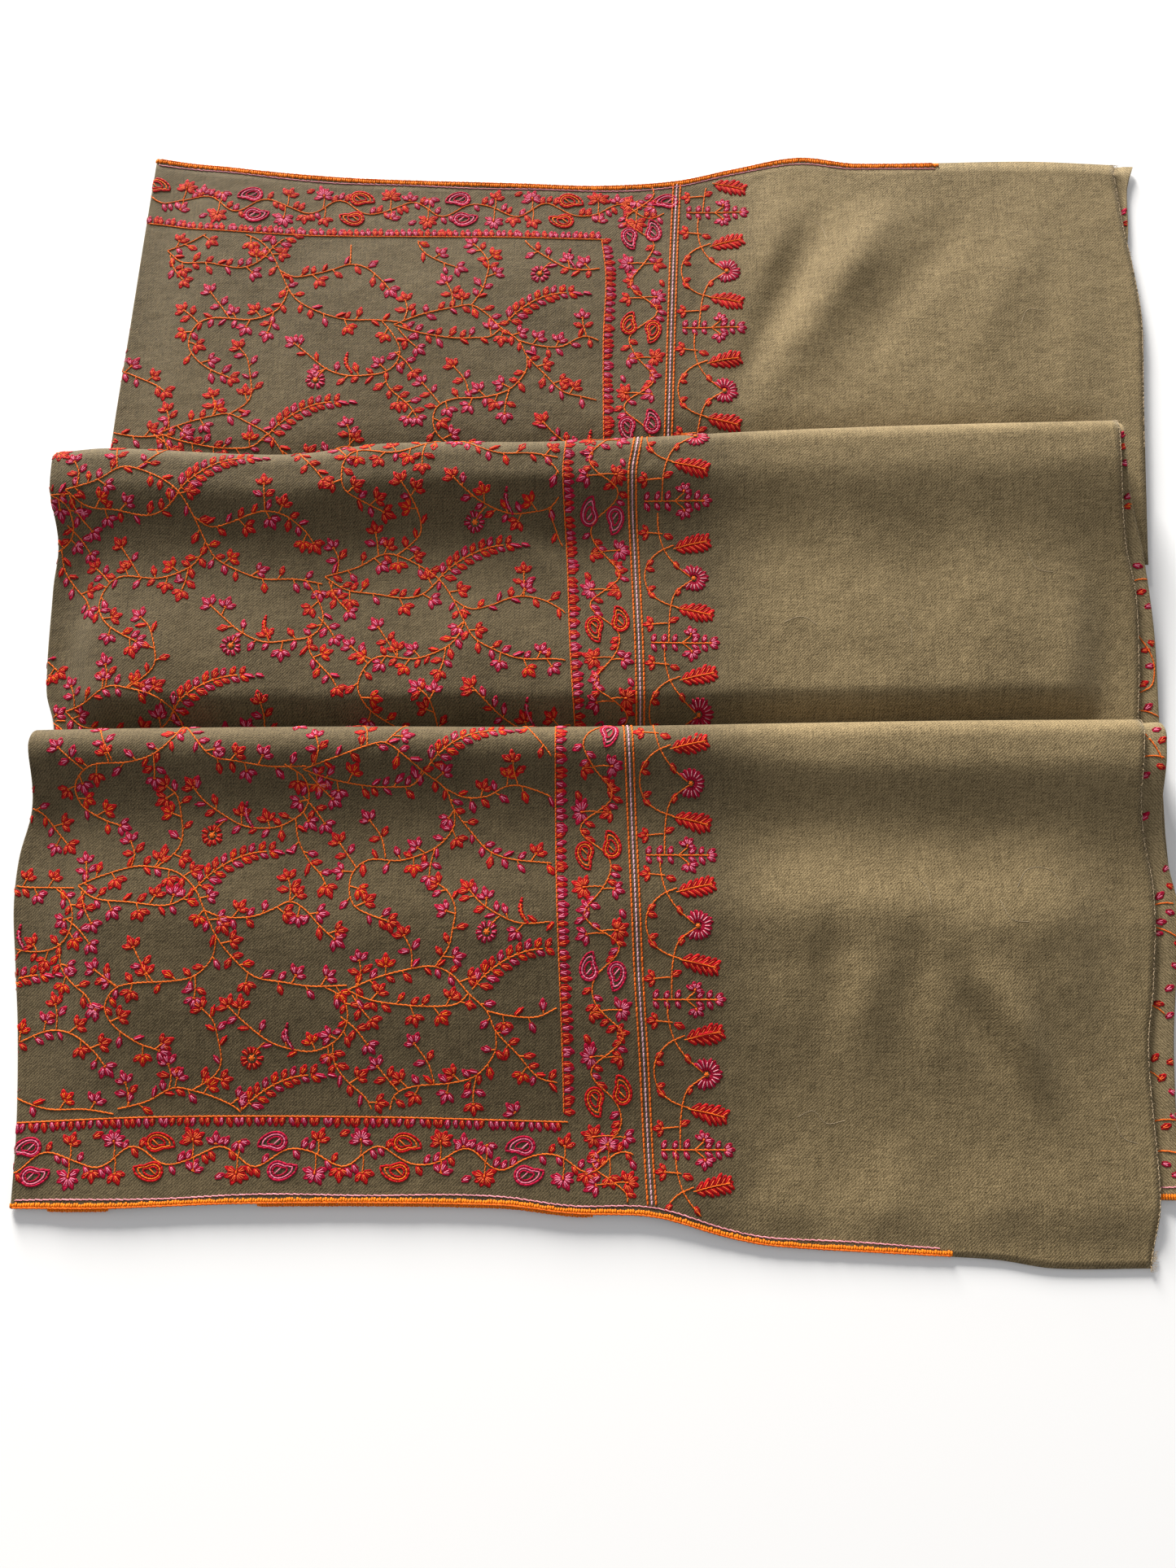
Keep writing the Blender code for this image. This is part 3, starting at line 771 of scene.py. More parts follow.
# Tints of each family: family, red, green, blue
ORANGE = ("orange", 0.67, 0.125, 0.014)
BRIGHT_ORANGE = ("orange", 0.82, 0.200, 0.012)
EMBER = ("red", 0.64, 0.095, 0.030)
RED = ("red", 0.42, 0.006, 0.009)
DARK_RED = ("red", 0.24, 0.003, 0.005)
CRIMSON = ("pink", 0.37, 0.005, 0.034)
DARK_CRIMSON = ("pink", 0.20, 0.003, 0.014)
ROSE = ("pink", 0.63, 0.150, 0.235)
PALE_ROSE = ("pink", 0.63, 0.250, 0.290)
MAUVE = ("pink", 0.52, 0.310, 0.350)
WOOL = ("wool", 0.34, 0.260, 0.165)
HAIR = ("wool", 0.42, 0.34, 0.23)
print("thread materials:", ", ".join(threads))

# %% [markdown]
# A needle works on one stretch at a time. It keeps rows of stitches, in plan millimetres, and at the
# end turns them all into one mesh for each colour family. The plan place is mapped to the surface last
# of all, so the same motif can lie flat, climb a slope or roll over a crown.

# %% The needle
STITCH_SIDES, STITCH_RINGS = 5, 3
STITCH_REST = 0.25
STRIP_WRAP = 1.45
TRIANGLES = {}


def stitch_shape():
    """A blunt spindle of unit size along X: its points, and its faces as rows of indices."""
    mesh = bmesh.new()
    bmesh.ops.create_uvsphere(mesh, u_segments=STITCH_SIDES, v_segments=STITCH_RINGS, radius=0.5)
    bmesh.ops.rotate(mesh, verts=mesh.verts, matrix=Matrix.Rotation(math.pi / 2, 3, "Y"))
    bmesh.ops.triangulate(mesh, faces=mesh.faces)
    points = np.array([vert.co[:] for vert in mesh.verts])
    faces = np.array([[vert.index for vert in face.verts] for face in mesh.faces])
    mesh.free()
    points[:, 0] = np.where(abs(points[:, 0]) < 0.4, 1.4 * points[:, 0], points[:, 0])
    return points, faces


STITCH_POINTS, STITCH_FACES = stitch_shape()


class Needle:
    """Gathers stitches for one stretch of cloth and makes them into meshes."""

    def __init__(self, name, stretch, seed, depth=0.0):
        self.name, self.stretch, self.depth = name, stretch, depth
        self.random = Random(seed)
        self.rows = {family: [] for family in FAMILIES}

    def stitch(self, start, end, width, colour, lift=0.0, height=0.8):
        family, *tint = colour
        shade = self.random.uniform(0.82, 1.15)
        tint = [min(1.0, part * shade) for part in tint]
        self.rows[family].append((*start, *end, width, width * height, lift, *tint))

    def place(self, x, y):
        """Surface places and normals, carried round the folds and the crown."""
        stretch = self.stretch
        v = stretch.v_at(x, y)
        if self.depth:
            fold = stretch.ends(v)[1] - BEND
            angle = np.clip((x - fold) / BEND, 0, STRIP_WRAP)
            way = 1.0
        else:
            fold = stretch.fold_x(v)
            angle = np.clip((fold - x) / BEND, 0, math.pi)
            way = -1.0
        at = np.where(angle > 0, fold + way * BEND * np.sin(angle), x)
        depth = self.depth + BEND * (1 - np.cos(angle))
        if self.depth:
            depth = depth + np.where(angle > 0, 0, sunk(x, stretch.ends(v)[0]))
        normal = stretch.outward(at, v)
        side = np.array([way, 0, 0])
        facing = normal * np.cos(angle)[:, None] + side * np.sin(angle)[:, None]
        return stretch.inside(at, v, depth), facing

    def make(self):
        """One mesh of all the stitches of each family."""
        made = []
        for family, rows in self.rows.items():
            if rows:
                made.append(self.mesh_of(f"{self.name}_{family}_stitches", family, np.array(rows)))
        return made

    def mesh_of(self, name, family, rows):
        start, up = self.place(rows[:, 0], rows[:, 1])
        end, up_end = self.place(rows[:, 2], rows[:, 3])
        width, height, lift = rows[:, 4], rows[:, 5], rows[:, 6]
        along = end - start
        length = np.linalg.norm(along, axis=1, keepdims=True)
        along /= length
        up = up + up_end
        across = np.cross(up, along)
        across /= np.linalg.norm(across, axis=1, keepdims=True)
        up = np.cross(along, across)
        centre = (start + end) / 2 + up * (STITCH_REST * height + lift)[:, None]
        local = STITCH_POINTS[None] * np.stack([length[:, 0], width, height], -1)[:, None]
        placed = centre[:, None] + np.einsum(
            "nvk,nkc->nvc", local, np.stack([along, across, up], 1)
        )
        placed = (placed - np.array([*ORIGIN, 0])) * MM
        count = len(STITCH_POINTS)
        faces = STITCH_FACES[None] + (np.arange(len(rows)) * count)[:, None, None]
        data = bpy.data.meshes.new(name)
        data.from_pydata(placed.reshape(-1, 3).tolist(), [], faces.reshape(-1, 3).tolist())
        tint = np.concatenate([rows[:, 7:10], np.ones((len(rows), 1))], 1)
        layer = data.color_attributes.new(name="tint", type="FLOAT_COLOR", domain="POINT")
        layer.data.foreach_set("color", np.repeat(tint, count, 0).astype(np.float32).ravel())
        lay = data.attributes.new(name="lay", type="FLOAT_VECTOR", domain="POINT")
        lay.data.foreach_set("vector", (local * MM).astype(np.float32).ravel())
        data.shade_smooth()
        data.materials.append(threads[family])
        made = bpy.data.objects.new(name, data)
        bpy.context.scene.collection.objects.link(made)
        TRIANGLES[name] = len(data.polygons)
        return made


print("one stitch has", len(STITCH_FACES), "triangles")

# %% [markdown]
# ## Stems
#
# A stem is a curve through a few places, worked in stem stitch: short stitches that overlap and lean
# a little, which is what gives the line its rope-like edge.

# %% Curves for the needle to follow
PATH_STEP = 0.8


def smooth_path(points):
    """Even places along a smooth curve through the points."""
    points = np.array(points, float)
    ends = np.concatenate([[2 * points[0] - points[1]], points, [2 * points[-1] - points[-2]]])
    share = np.linspace(0, 1, 16, endpoint=False)[:, None]
    pieces = []
    for a, b, c, d in zip(ends, ends[1:], ends[2:], ends[3:]):
        bend = 2 * b + (c - a) * share + (2 * a - 5 * b + 4 * c - d) * share**2
        pieces.append((bend + (3 * b - a - 3 * c + d) * share**3) / 2)
    curve = np.concatenate([*pieces, points[-1:]])
    gone = np.concatenate([[0], np.cumsum(np.linalg.norm(np.diff(curve, axis=0), axis=1))])
    at = np.linspace(0, gone[-1], max(2, int(gone[-1] / PATH_STEP) + 1))
    return np.stack([np.interp(at, gone, curve[:, 0]), np.interp(at, gone, curve[:, 1])], -1)


STEM_STITCH, STEM_WIDTH = 3.1, 1.02


def everywhere(x, y):
    return True


def stem(needle, points, colour=ORANGE, width=STEM_WIDTH, length=STEM_STITCH,
         keep=everywhere, lift=0.0, least=1):
    """Stem stitch along a curve, left out where keep says so and in runs of fewer than the least
    number of stitches. It gives back the curve."""
    path = smooth_path(points)
    step = np.linalg.norm(path[1] - path[0])
    count = max(1, round(len(path) * step / length))
    marks = np.linspace(0, len(path) - 1, count + 1)
    pairs = [
        (path[int(first)], path[min(len(path) - 1, int(last) + 1)])
        for first, last in zip(marks, marks[1:])
    ]
    for kept, run in groupby(pairs, lambda pair: bool(keep(*pair[0]) and keep(*pair[1]))):
        run = list(run)
        for start, end in run if kept and len(run) >= least else ():
            lean = (end - start)[::-1] * (0.09, -0.09) * needle.random.uniform(0.3, 1)
            if lean.any():
                thickness = width * needle.random.uniform(0.88, 1.1)
                needle.stitch(start - lean, end + lean, thickness, colour, lift)
    return path


print("stitches in 100 mm of stem:", round(100 / STEM_STITCH))

# %% [markdown]
# ## Leaves and flowers
#
# Looked at closely, each leaf is a dark fan of satin stitches with a lighter pair laid inside it. The
# same recipe, turned about a point, gives a cluster; drawn out along a vein, it gives a fern.

# %% Leaf, bud, spray and cluster
WARM = (DARK_RED, RED, EMBER)
COOL = (DARK_CRIMSON, CRIMSON, ROSE)
BRIGHT = (RED, RED, ORANGE)


def turned(origin, angle, along, aside):
    """The plan place at a distance along and aside of a direction."""
    c, s = math.cos(angle), math.sin(angle)
    return np.array([origin[0] + along * c - aside * s, origin[1] + along * s + aside * c])


def places_from(origin, angle):
    """A short way to ask for many places along and aside of one direction."""
    def at(along, aside=0):
        return turned(origin, angle, along, aside)
    return at


def leaf(needle, base, angle, length=8.0, width=3.4, tones=WARM):
    """A slim pointed leaf: two satin stitches side by side, and a light one down the middle."""
    outer, body, light = tones
    length *= needle.random.uniform(0.9, 1.12)
    at = places_from(base, angle)
    for side, colour in ((1, body), (-1, outer)):
        tip = at(length * 0.8, side * width * 0.26)
        needle.stitch(at(0, side * 0.3), tip, width * 0.55, colour, height=0.24)
    needle.stitch(at(length * 0.35), at(length), 1.5, body, 0.05, 0.6)
    needle.stitch(at(0.6), at(length * 0.75, 0.1), 0.8, light, 0.3)


def bud(needle, base, angle, size=7.2, tones=WARM):
    """A pointed bud: a filled almond with a darker edge, and a light pair of stitches inside it."""
    outer, body, light = tones
    size *= needle.random.uniform(0.84, 1.04)
    waist = size * needle.random.uniform(0.25, 0.32)
    at = places_from(base, angle)
    needle.stitch(at(0.2), at(size * 1.08), size * 0.40, body, height=0.16)
    for side, low, high in ((1, outer, body), (-1, body, outer)):
        needle.stitch(at(-0.6, side * 0.3), at(size * 0.64, side * waist * 1.1), 1.7, low, 0.0, 0.34)
        needle.stitch(at(size * 0.36, side * waist), at(size, side * 0.3), 1.5, high, 0.0, 0.34)
        needle.stitch(at(0.5, side * 0.1), at(size * 0.68, side * size * 0.13), 0.85, light, 0.22, 0.6)


def spray(needle, base, angle, tones=WARM, size=7.2, spread=1.1):
    """Three buds from one place, the outer two on short stalks."""
    for turn in (-spread, spread, 0):
        reach = size * (1.08 if turn == 0 else 0.94)
        foot = turned(base, angle + turn, 1.2, 0)
        needle.stitch(base, foot, 0.9, ORANGE)
        bud(needle, foot, angle + turn * 0.86, reach, tones)


def clump(needle, centre, facing, tones=COOL, size=7.4, buds=6, sweep=4.6):
    """A loose flower of buds that spread from one place."""
    for i in range(buds):
        angle = facing - sweep / 2 + sweep * (i + 0.5) / buds + needle.random.uniform(-0.15, 0.15)
        bud(needle, turned(centre, angle, 0.8, 0), angle, size * needle.random.uniform(0.85, 1.1), tones)
    needle.stitch(turned(centre, facing, -1, 0), turned(centre, facing, 1, 0), 1.3, ORANGE, 0.4)


def cluster(needle, centre, radius=7.2, tones=COOL, petals=10):
    """A small round flower: a ring of short loops, each with a light stitch, about an orange heart."""
    outer, body, light = tones
    for i in range(petals):
        angle = 2 * math.pi * i / petals + needle.random.uniform(-0.08, 0.08)
        reach = radius * needle.random.uniform(0.92, 1.08)
        at = places_from(centre, angle)
        for side, colour in ((1, body), (-1, outer)):
            needle.stitch(at(radius * 0.4, side * 0.3), at(reach, side * 0.9), 1.9, colour, height=0.34)
        needle.stitch(at(radius * 0.45), at(reach * 0.86), 0.8, light, 0.34)
    for angle in (0, 1.05, 2.1):
        at = places_from(centre, angle)
        needle.stitch(at(-2.2), at(2.2), 1.5, ORANGE, 0.1)


# %% [markdown]
# The borders and finials have larger motifs: an open daisy, a lobed fern, a curled paisley and a
# crescent. Each is built from the same single stitch, laid in the order that a hand would lay it: the
# fill first, then the outline, then the light thread on top.

# %% Daisy, fern, paisley and crescent
def daisy(needle, centre, facing, radius=9.8, petals=13, sweep=4.9,
          tones=(DARK_CRIMSON, CRIMSON, PALE_ROSE)):
    """A wide flower, open towards one side, with a pale line down each petal."""
    outer, body, light = tones
    for i in range(petals):
        angle = facing - sweep / 2 + sweep * (i + 0.5) / petals
        reach = radius * needle.random.uniform(0.9, 1.1)
        at = places_from(centre, angle)
        for side, colour in ((1, body), (-1, outer)):
            tip = turned(centre, angle + side * 0.14, reach, 0)
            needle.stitch(at(radius * 0.2), tip, 2.4, colour, height=0.3)
        needle.stitch(at(radius * 0.42), at(reach * 0.86), 0.80, light, 0.34, 0.7)
    for i in range(3):
        at = places_from(centre, facing + i * math.pi / 3)
        needle.stitch(at(-1.7), at(1.7), 1.2, ORANGE, 0.5)


def fern(needle, base, angle, length=25, width=13, pairs=6, tones=WARM, vein=ORANGE):
    """A lobed leaf: satin along the middle, pointed lobes in pairs and a light vein."""
    outer, body, light = tones
    at = places_from(base, angle)
    needle.stitch(at(1), at(length), width * 0.42, body, -0.1, 0.12)
    for i in range(pairs):
        share = (i + 0.5) / pairs
        along = length * share
        for side in (1, -1):
            reach = width / 2 * (0.62 + 0.42 * math.sin(math.pi * share))
            reach *= needle.random.uniform(0.88, 1.1)
            tip = at(along + reach * 0.75, side * reach)
            colour = outer if (i + (side > 0)) % 2 else body
            needle.stitch(at(length * (share - 0.08)), tip, 2.5, colour, height=0.3)
            needle.stitch(at(length * (share + 0.06)), tip, 2.0, body, 0.05, 0.3)
            inner = at(along + reach * 0.55, side * reach * 0.66)
            needle.stitch(at(along, side * 0.5), inner, 0.8, light, 0.30, 0.7)
    bud(needle, at(length * 0.82), angle, 6.0, tones)
    stem(needle, [at(-2), at(length * 0.5, 0.4), at(length)], vein, 0.9, lift=0.34)


PAISLEY = (
    (-1.4, 3.2), (0.4, 5.2), (4.6, 6.2), (9.6, 5.6), (13.4, 2.6), (13.8, -1.6),
    (10.6, -4.4), (6.4, -3.8), (4.2, -1.2), (2.4, 1.0), (0.2, 1.4), (-1.4, 3.2),
)
PAISLEY_STEP = 4


def paisley(needle, base, angle, mirror, size, tones):
    """A curled drop: a thick dark ring, a light ring inside it and a stroke in the middle."""
    ring, light = tones
    outline = smooth_path([(size * px, size * mirror * py) for px, py in PAISLEY])
    middle = np.array([size * 9.0, size * mirror * 0.4])
    at = places_from(base, angle)

    def around(shrink, width, colour, lift=0.0):
        points = [at(*(middle + (point - middle) * shrink)) for point in outline]
        for first in range(0, len(points) - 1, PAISLEY_STEP):
            last = min(len(points) - 1, first + PAISLEY_STEP + 1)
            needle.stitch(points[first], points[last], width, colour, lift, 0.6)

    around(0.98, 1.7, ring)
    around(0.76, 1.15, light, 0.15)
    around(0.50, 1.5, ring)
    tail, head = middle + (-3.0, -0.6 * mirror), middle + (2.6, 0.8 * mirror)
    needle.stitch(at(*tail), at(*head), 1.0, light, 0.35)


CRESCENT_STITCHES = 9


def crescent(needle, base, angle, tones=COOL, length=18):
    """A long curved leaf of short stitches with a light edge."""
    outer, body, light = tones
    at = places_from(base, angle)
    path = smooth_path([at(0), at(length / 2, 3.4), at(length, 1.2)])
    for i in range(CRESCENT_STITCHES):
        share = (i + 0.5) / CRESCENT_STITCHES
        reach = 1.9 * math.sin(math.pi * (0.12 + 0.8 * share))
        across = places_from(path[int(share * (len(path) - 1))], angle + 0.9)
        needle.stitch(across(-reach), across(reach), 2.6, outer if i % 2 else body, height=0.32)
    stem(needle, path[2:-2:5], light, 0.8, lift=0.34)


print("motifs: leaf, spray, cluster, daisy, fern, paisley, crescent")

# %% [markdown]
# ## The vines of the field
#
# The field is one vine unit, drawn around the foot of a fern and repeated on a slanting grid.
# Long stems come first, as curves through a few places, and leaves are then set along them by a rule:
# alternate sides, uneven gaps, warm and cool colours mixed. Each stretch shows its own few repeats.

# %% The unit, in millimetres from the foot of the fern
MAIN = (
    (-77, 2), (-57, 9), (-38, 16), (-26, 16), (-12, 10), (0, 0), (10, -13), (17, -28),
    (27, -41), (40, -52), (57, -57), (78, -59), (99, -60),
)
LOWER = ((-77, 2), (-62, -6), (-40, -9), (-20, -11), (-8, -8), (0, 0))
RIGHT = ((10, -13), (22, -18), (38, -17), (50, -12), (60, -9), (72, -13), (84, -22), (91, -29))
SWIRL = (
    (17, -28), (15, -40), (5, -51), (-13, -57), (-36, -57), (-47, -63), (-51, -75), (-46, -86),
    (-34, -94), (-21, -99),
)
DROP = (
    (86, -59), (96, -68), (101, -80), (98, -89), (91, -95), (79, -99), (62, -99), (47, -93),
    (34, -83), (26, -75),
)
TAIL = ((91, -95), (94, -107), (101, -118), (109, -127), (114, -135))
RISER = ((-26, 16), (-16, 26), (-12, 35), (-12, 48), (-17, 60), (-23, 66))
SPRIGS = (
    ((-70, 4), (-69, 13), (-71, 20)),
    ((-40, 15), (-40, 25), (-43, 33)),
    ((-74, -1), (-69, -11), (-62, -20)),
    ((-24, -57), (-30, -45), (-37, -34)),
    ((5, -51), (4, -60), (3, -67)),
    ((-45, -61), (-52, -54), (-58, -48)),
    ((60, -9), (59, 0), (58, 6)),
    ((97, -81), (104, -88), (110, -96)),
)

# Stem, gap between leaves, how far from its start the first leaf is
LEAFY = (
    (MAIN, 8.7, 6), (LOWER, 8.0, 8), (RIGHT, 8.4, 10), (SWIRL, 8.4, 12), (DROP, 8.7, 8),
    (TAIL, 8.0, 7), (RISER, 8.7, 8),
)
print("stems in one unit:", len(LEAFY) + len(SPRIGS))

# %% [markdown]
# Leaves are not drawn one by one. A rule walks along each stem and, at uneven gaps, sets a leaf, a bud
# on a stalk or three buds together, now on one side and now on the other. Chance comes from a fixed
# seed for each stretch, so the needlework looks made by hand and is still the same every time.

# %% Leaves along a stem, and one repeat of the field
LEAF_SHARE, BUD_SHARE, OPPOSITE_SHARE = 0.24, 0.66, 0.35


def leaves_along(needle, path, gap, first, keep):
    """Leaves and buds on alternate sides of a stem, some on short stalks and some in threes."""
    random = needle.random
    step = np.linalg.norm(path[1] - path[0])
    at, side = first + random.uniform(-1.5, 1.5), random.choice((1, -1))
    while at < (len(path) - 3) * step:
        i = int(at / step)
        spot, ahead = path[i], path[min(len(path) - 1, i + 2)] - path[i]
        angle = math.atan2(ahead[1], ahead[0]) + side * random.uniform(0.8, 1.2)
        kind = random.random()
        reach = 14 if kind > BUD_SHARE else 9
        if keep(*turned(spot, angle, reach, 0)) and keep(*spot):
            tones = random.choice((WARM, COOL, WARM, COOL, BRIGHT))
            if kind < LEAF_SHARE:
                size = random.uniform(6.6, 8.4)
                leaf(needle, turned(spot, angle, 0.6, 0), angle - side * 0.2, size, 3.8, tones)
            elif kind < BUD_SHARE:
                tip = turned(spot, angle, random.uniform(1.8, 4.0), 0)
                stem(needle, [spot, tip], width=0.95, length=2.6)
                bud(needle, tip, angle + random.uniform(-0.3, 0.3), random.uniform(6.4, 7.8), tones)
            else:
                tip = turned(spot, angle, random.uniform(4.5, 6.5), side * 0.8)
                stem(needle, [spot, tip], width=0.95, length=2.6)
                spray(needle, tip, angle + random.uniform(-0.3, 0.3), tones, 6.7)
            if random.random() < OPPOSITE_SHARE:
                other = angle - side * random.uniform(1.8, 2.2)
                if keep(*turned(spot, other, 8, 0)):
                    bud(needle, turned(spot, other, 1.4, 0), other, 6.6, random.choice((WARM, COOL)))
        at += gap * random.uniform(0.8, 1.25)
        side = -side


def field_fern(needle, foot, keep):
    """The large sprig at the foot of which the stems meet: leaves in pairs, then two pink buds."""
    path = smooth_path([turned(foot, 0, *spot) for spot in ((0, 0), (8, 9), (20, 18), (34, 24), (48, 26))])
    for i in range(9):
        spot = path[int((i + 0.8) / 9 * (len(path) - 1))]
        ahead = math.atan2(22 - 1.9 * i, 30)
        for side in (1, -1):
            tones = (WARM, COOL, BRIGHT)[(i + (side > 0)) % 3]
            size = 8.0 - 0.22 * i
            if keep(*turned(spot, ahead + side, size, 0)):
                tip = turned(spot, ahead + side, 2.4 - 0.2 * i, 0)
                stem(needle, [spot, tip], width=0.95, length=2.6)
                bud(needle, tip, ahead + side * 0.85, size, tones)
    stem(needle, path[::6], keep=keep)
    for reach in (0.5, 8.5):
        tip = turned(path[-1], 0.02, reach, 0)
        if keep(*turned(tip, 0, 8, 0)):
            leaf(needle, tip, -0.25, 8.5 if reach < 5 else 6.0, 3.8, COOL)


def vine_unit(needle, foot, keep):
    """One repeat of the field."""
    random = needle.random

    def shifted(points):
        return [
            (foot[0] + x + 1.8 * math.sin(x / 11 + foot[1]) + math.sin(y / 5 + foot[0]),
             foot[1] + y + 1.8 * math.sin(y / 12 + foot[0]) + math.sin(x / 6 + foot[1]))
            for x, y in points
        ]

    for points, gap, first in LEAFY:
        path = stem(needle, shifted(points), keep=keep, least=4)
        leaves_along(needle, path, gap, first, keep)
        end = path[-1]
        ahead = path[-1] - path[-4]
        if points not in (MAIN, LOWER) and keep(*(end + ahead * 3)):
            spray(needle, end, math.atan2(ahead[1], ahead[0]), random.choice((WARM, COOL)))
    for points in SPRIGS:
        spots = shifted(points)
        if not (keep(*spots[0]) and keep(*spots[-1])):
            continue
        path = stem(needle, spots, width=1.05)
        ahead = path[-1] - path[-4]
        if keep(*(path[-1] + ahead * 3)):
            spray(needle, path[-1], math.atan2(ahead[1], ahead[0]), random.choice((WARM, COOL)), 6.6)
            middle_spot = path[len(path) // 2]
            for side in (1, -1):
                turn = math.atan2(ahead[1], ahead[0]) + side * 1.1
                if keep(*turned(middle_spot, turn, 8, 0)):
                    tones = random.choice((WARM, COOL))
                    bud(needle, turned(middle_spot, turn, 1.6, 0), turn, 7.2, tones)
    field_fern(needle, foot, keep)
    flower = (foot[0] + 40, foot[1] - 104)
    if keep(flower[0] - 8, flower[1] - 8) and keep(flower[0] + 8, flower[1] + 8):
        stem(needle, [(foot[0] + 48, foot[1] - 94), (foot[0] + 43, foot[1] - 99), flower], width=0.95)
        cluster(needle, flower, tones=random.choice((WARM, COOL)))
    curl = (foot[0] + 66, foot[1] - 99)
    if keep(curl[0], curl[1] + 18) and keep(*curl):
        crescent(needle, curl, math.pi / 2 + 0.15, random.choice((COOL, BRIGHT)))


# %% [markdown]
# The repeats do not join from one stretch to the next, because cloth between them is taken up in the
# pleat. Each stretch therefore has its own list of feet. A keeper says of any place whether it lies
# inside the guard lines, and stems and leaves ask it before a stitch is laid.

# %% Where the unit repeats
FERN_FEET = {
    "back": ((-71, 250), (-245, 310), (-237, 163), (-404, 225), (-86, 395)),
    "middle": (
        (-289, 108), (-113, 51), (-288, -42), (-98, -94), (-128, 196), (-304, 253), (-463, 168),
        (-462, 18),
    ),
    "front": (
        (-262, -160), (-84, -222), (-115, -82), (-231, -300), (-293, -20), (-438, -98), (-407, -238),
        (-146, 58),
    ),
}

# Guard line of the side border: y, x; and of the hem borders: x, y
GUARD_X = {
    "back": ((322, -1), (289, 2), (237, 0), (150, 0)),
    "middle": ((172, -26), (148, -26), (123, -28), (63, -25), (4, -23), (-60, -19)),
    "front": ((-30, -32), (-64, -32), (-108, -32), (-161, -31), (-213, -29), (-264, -27), (-303, -26)),
}
BACK_GUARD_Y = ((-345, 338), (-323, 335), (-299, 330), (-203, 324), (-108, 323), (-1, 321))
FRONT_GUARD_Y = ((-375, -304), (-280, -300), (-150, -300), (-26, -303))

# Middle of the triple line: y, x
TRIPLE_X = {
    "back": ((380, 56), (367, 55), (316, 52), (250, 49), (150, 45)),
    "middle": ((172, 24), (148, 23), (123, 19), (63, 21), (4, 23), (-60, 24)),
    "front": (
        (-30, 14), (-58, 15), (-108, 17), (-161, 19), (-213, 21), (-264, 24), (-328, 27), (-360, 29),
    ),
}
CROWN_WRAP = 24
LAP_EDGE = 5


def top_y(name, x):
    """The farthest y that is stitched: the hem border, or some way round the crown."""
    stretch = STRETCHES[name]
    return stretch.back_y(x) + CROWN_WRAP if stretch.pleat else stretch.back_y(x) - 1


def bottom_y(name, x):
    """The nearest y that is stitched: where the next pleat covers the cloth, or the hem."""
    stretch = STRETCHES[name]
    return read_curve(FRONT_HEM, x) + 1 if stretch.hem else stretch.front.back_y(x) + LAP_EDGE


def field_keeper(name):
    """Says whether a plan place lies inside the field of a stretch."""
    def keep(x, y):
        if x > read_curve(GUARD_X[name], y) - 2 or x < -386:
            return False
        high = read_curve(BACK_GUARD_Y, x) - 2 if name == "back" else top_y(name, x)
        low = read_curve(FRONT_GUARD_Y, x) + 2 if name == "front" else bottom_y(name, x)
        return low < y < high
    return keep


needles = {name: Needle(name, stretch, seed) for seed, (name, stretch) in enumerate(STRETCHES.items())}
for name, needle in needles.items():
    keep = field_keeper(name)
    for foot in FERN_FEET[name]:
        vine_unit(needle, foot, keep)
    print(name, "field stitches:", sum(len(rows) for rows in needle.rows.values()))

# %% [markdown]
# ## Guard lines and the paisley borders
#
# A guard line frames the field: one orange line with a row of small buds, each just touching the next,
# in short runs of red and of pink. It is worked along a path, so one function serves the side and both
# hems. The colour changes by chance at about six buds in ten, which is what makes the runs short.

# %% Guard line
BUD_PITCH = 4.3
TONE_CHANGE = 0.62


def guard_line(needle, path, outward, size=7.6):
    """An orange line with buds to the left of the path where outward is 1, to the right where -1."""
    stem(needle, path[::8])
    step = np.linalg.norm(path[1] - path[0])
    stride = BUD_PITCH / step
    tones = WARM
    for i in range(int((len(path) - 2) / stride)):
        at = min(len(path) - 2, int((i + 0.5) * stride))
        ahead = path[at + 1] - path[at]
        angle = math.atan2(ahead[1], ahead[0]) + outward * math.pi / 2
        if needle.random.random() < TONE_CHANGE:
            tones = COOL if tones is WARM else WARM
        turn = angle + needle.random.uniform(-0.35, 0.35)
        bud(needle, turned(path[at], angle, 0.2, 0), turn, size, tones)


print("buds in 100 mm of guard line:", round(100 / BUD_PITCH))

# %% [markdown]
# Outside the guard line a vine swings from side to side between pairs of paisleys. Everything in it is
# placed by its distance along the border and its distance aside, so the band can turn with the cloth.
# The pairs take red and pink in turn, and every other repeat is mirrored, which hides how even it is.

# %% Paisley border
PAIR_PITCH = 77
WAVE = PAIR_PITCH / 1.5

# Beside the vine in each repeat: distance past the pair, distance aside, what stands there
BORDER_SPRIGS = (
    (25, 9, "spray"), (24, -10, "flower"), (38.5, -7, "upright"),
    (52, 10, "flower"), (53, -9, "spray"), (39, 13, "bud"),
)
BORDER_BUDS = (10, 15, 20, 30, 34, 43, 47, 58, 63, 68)


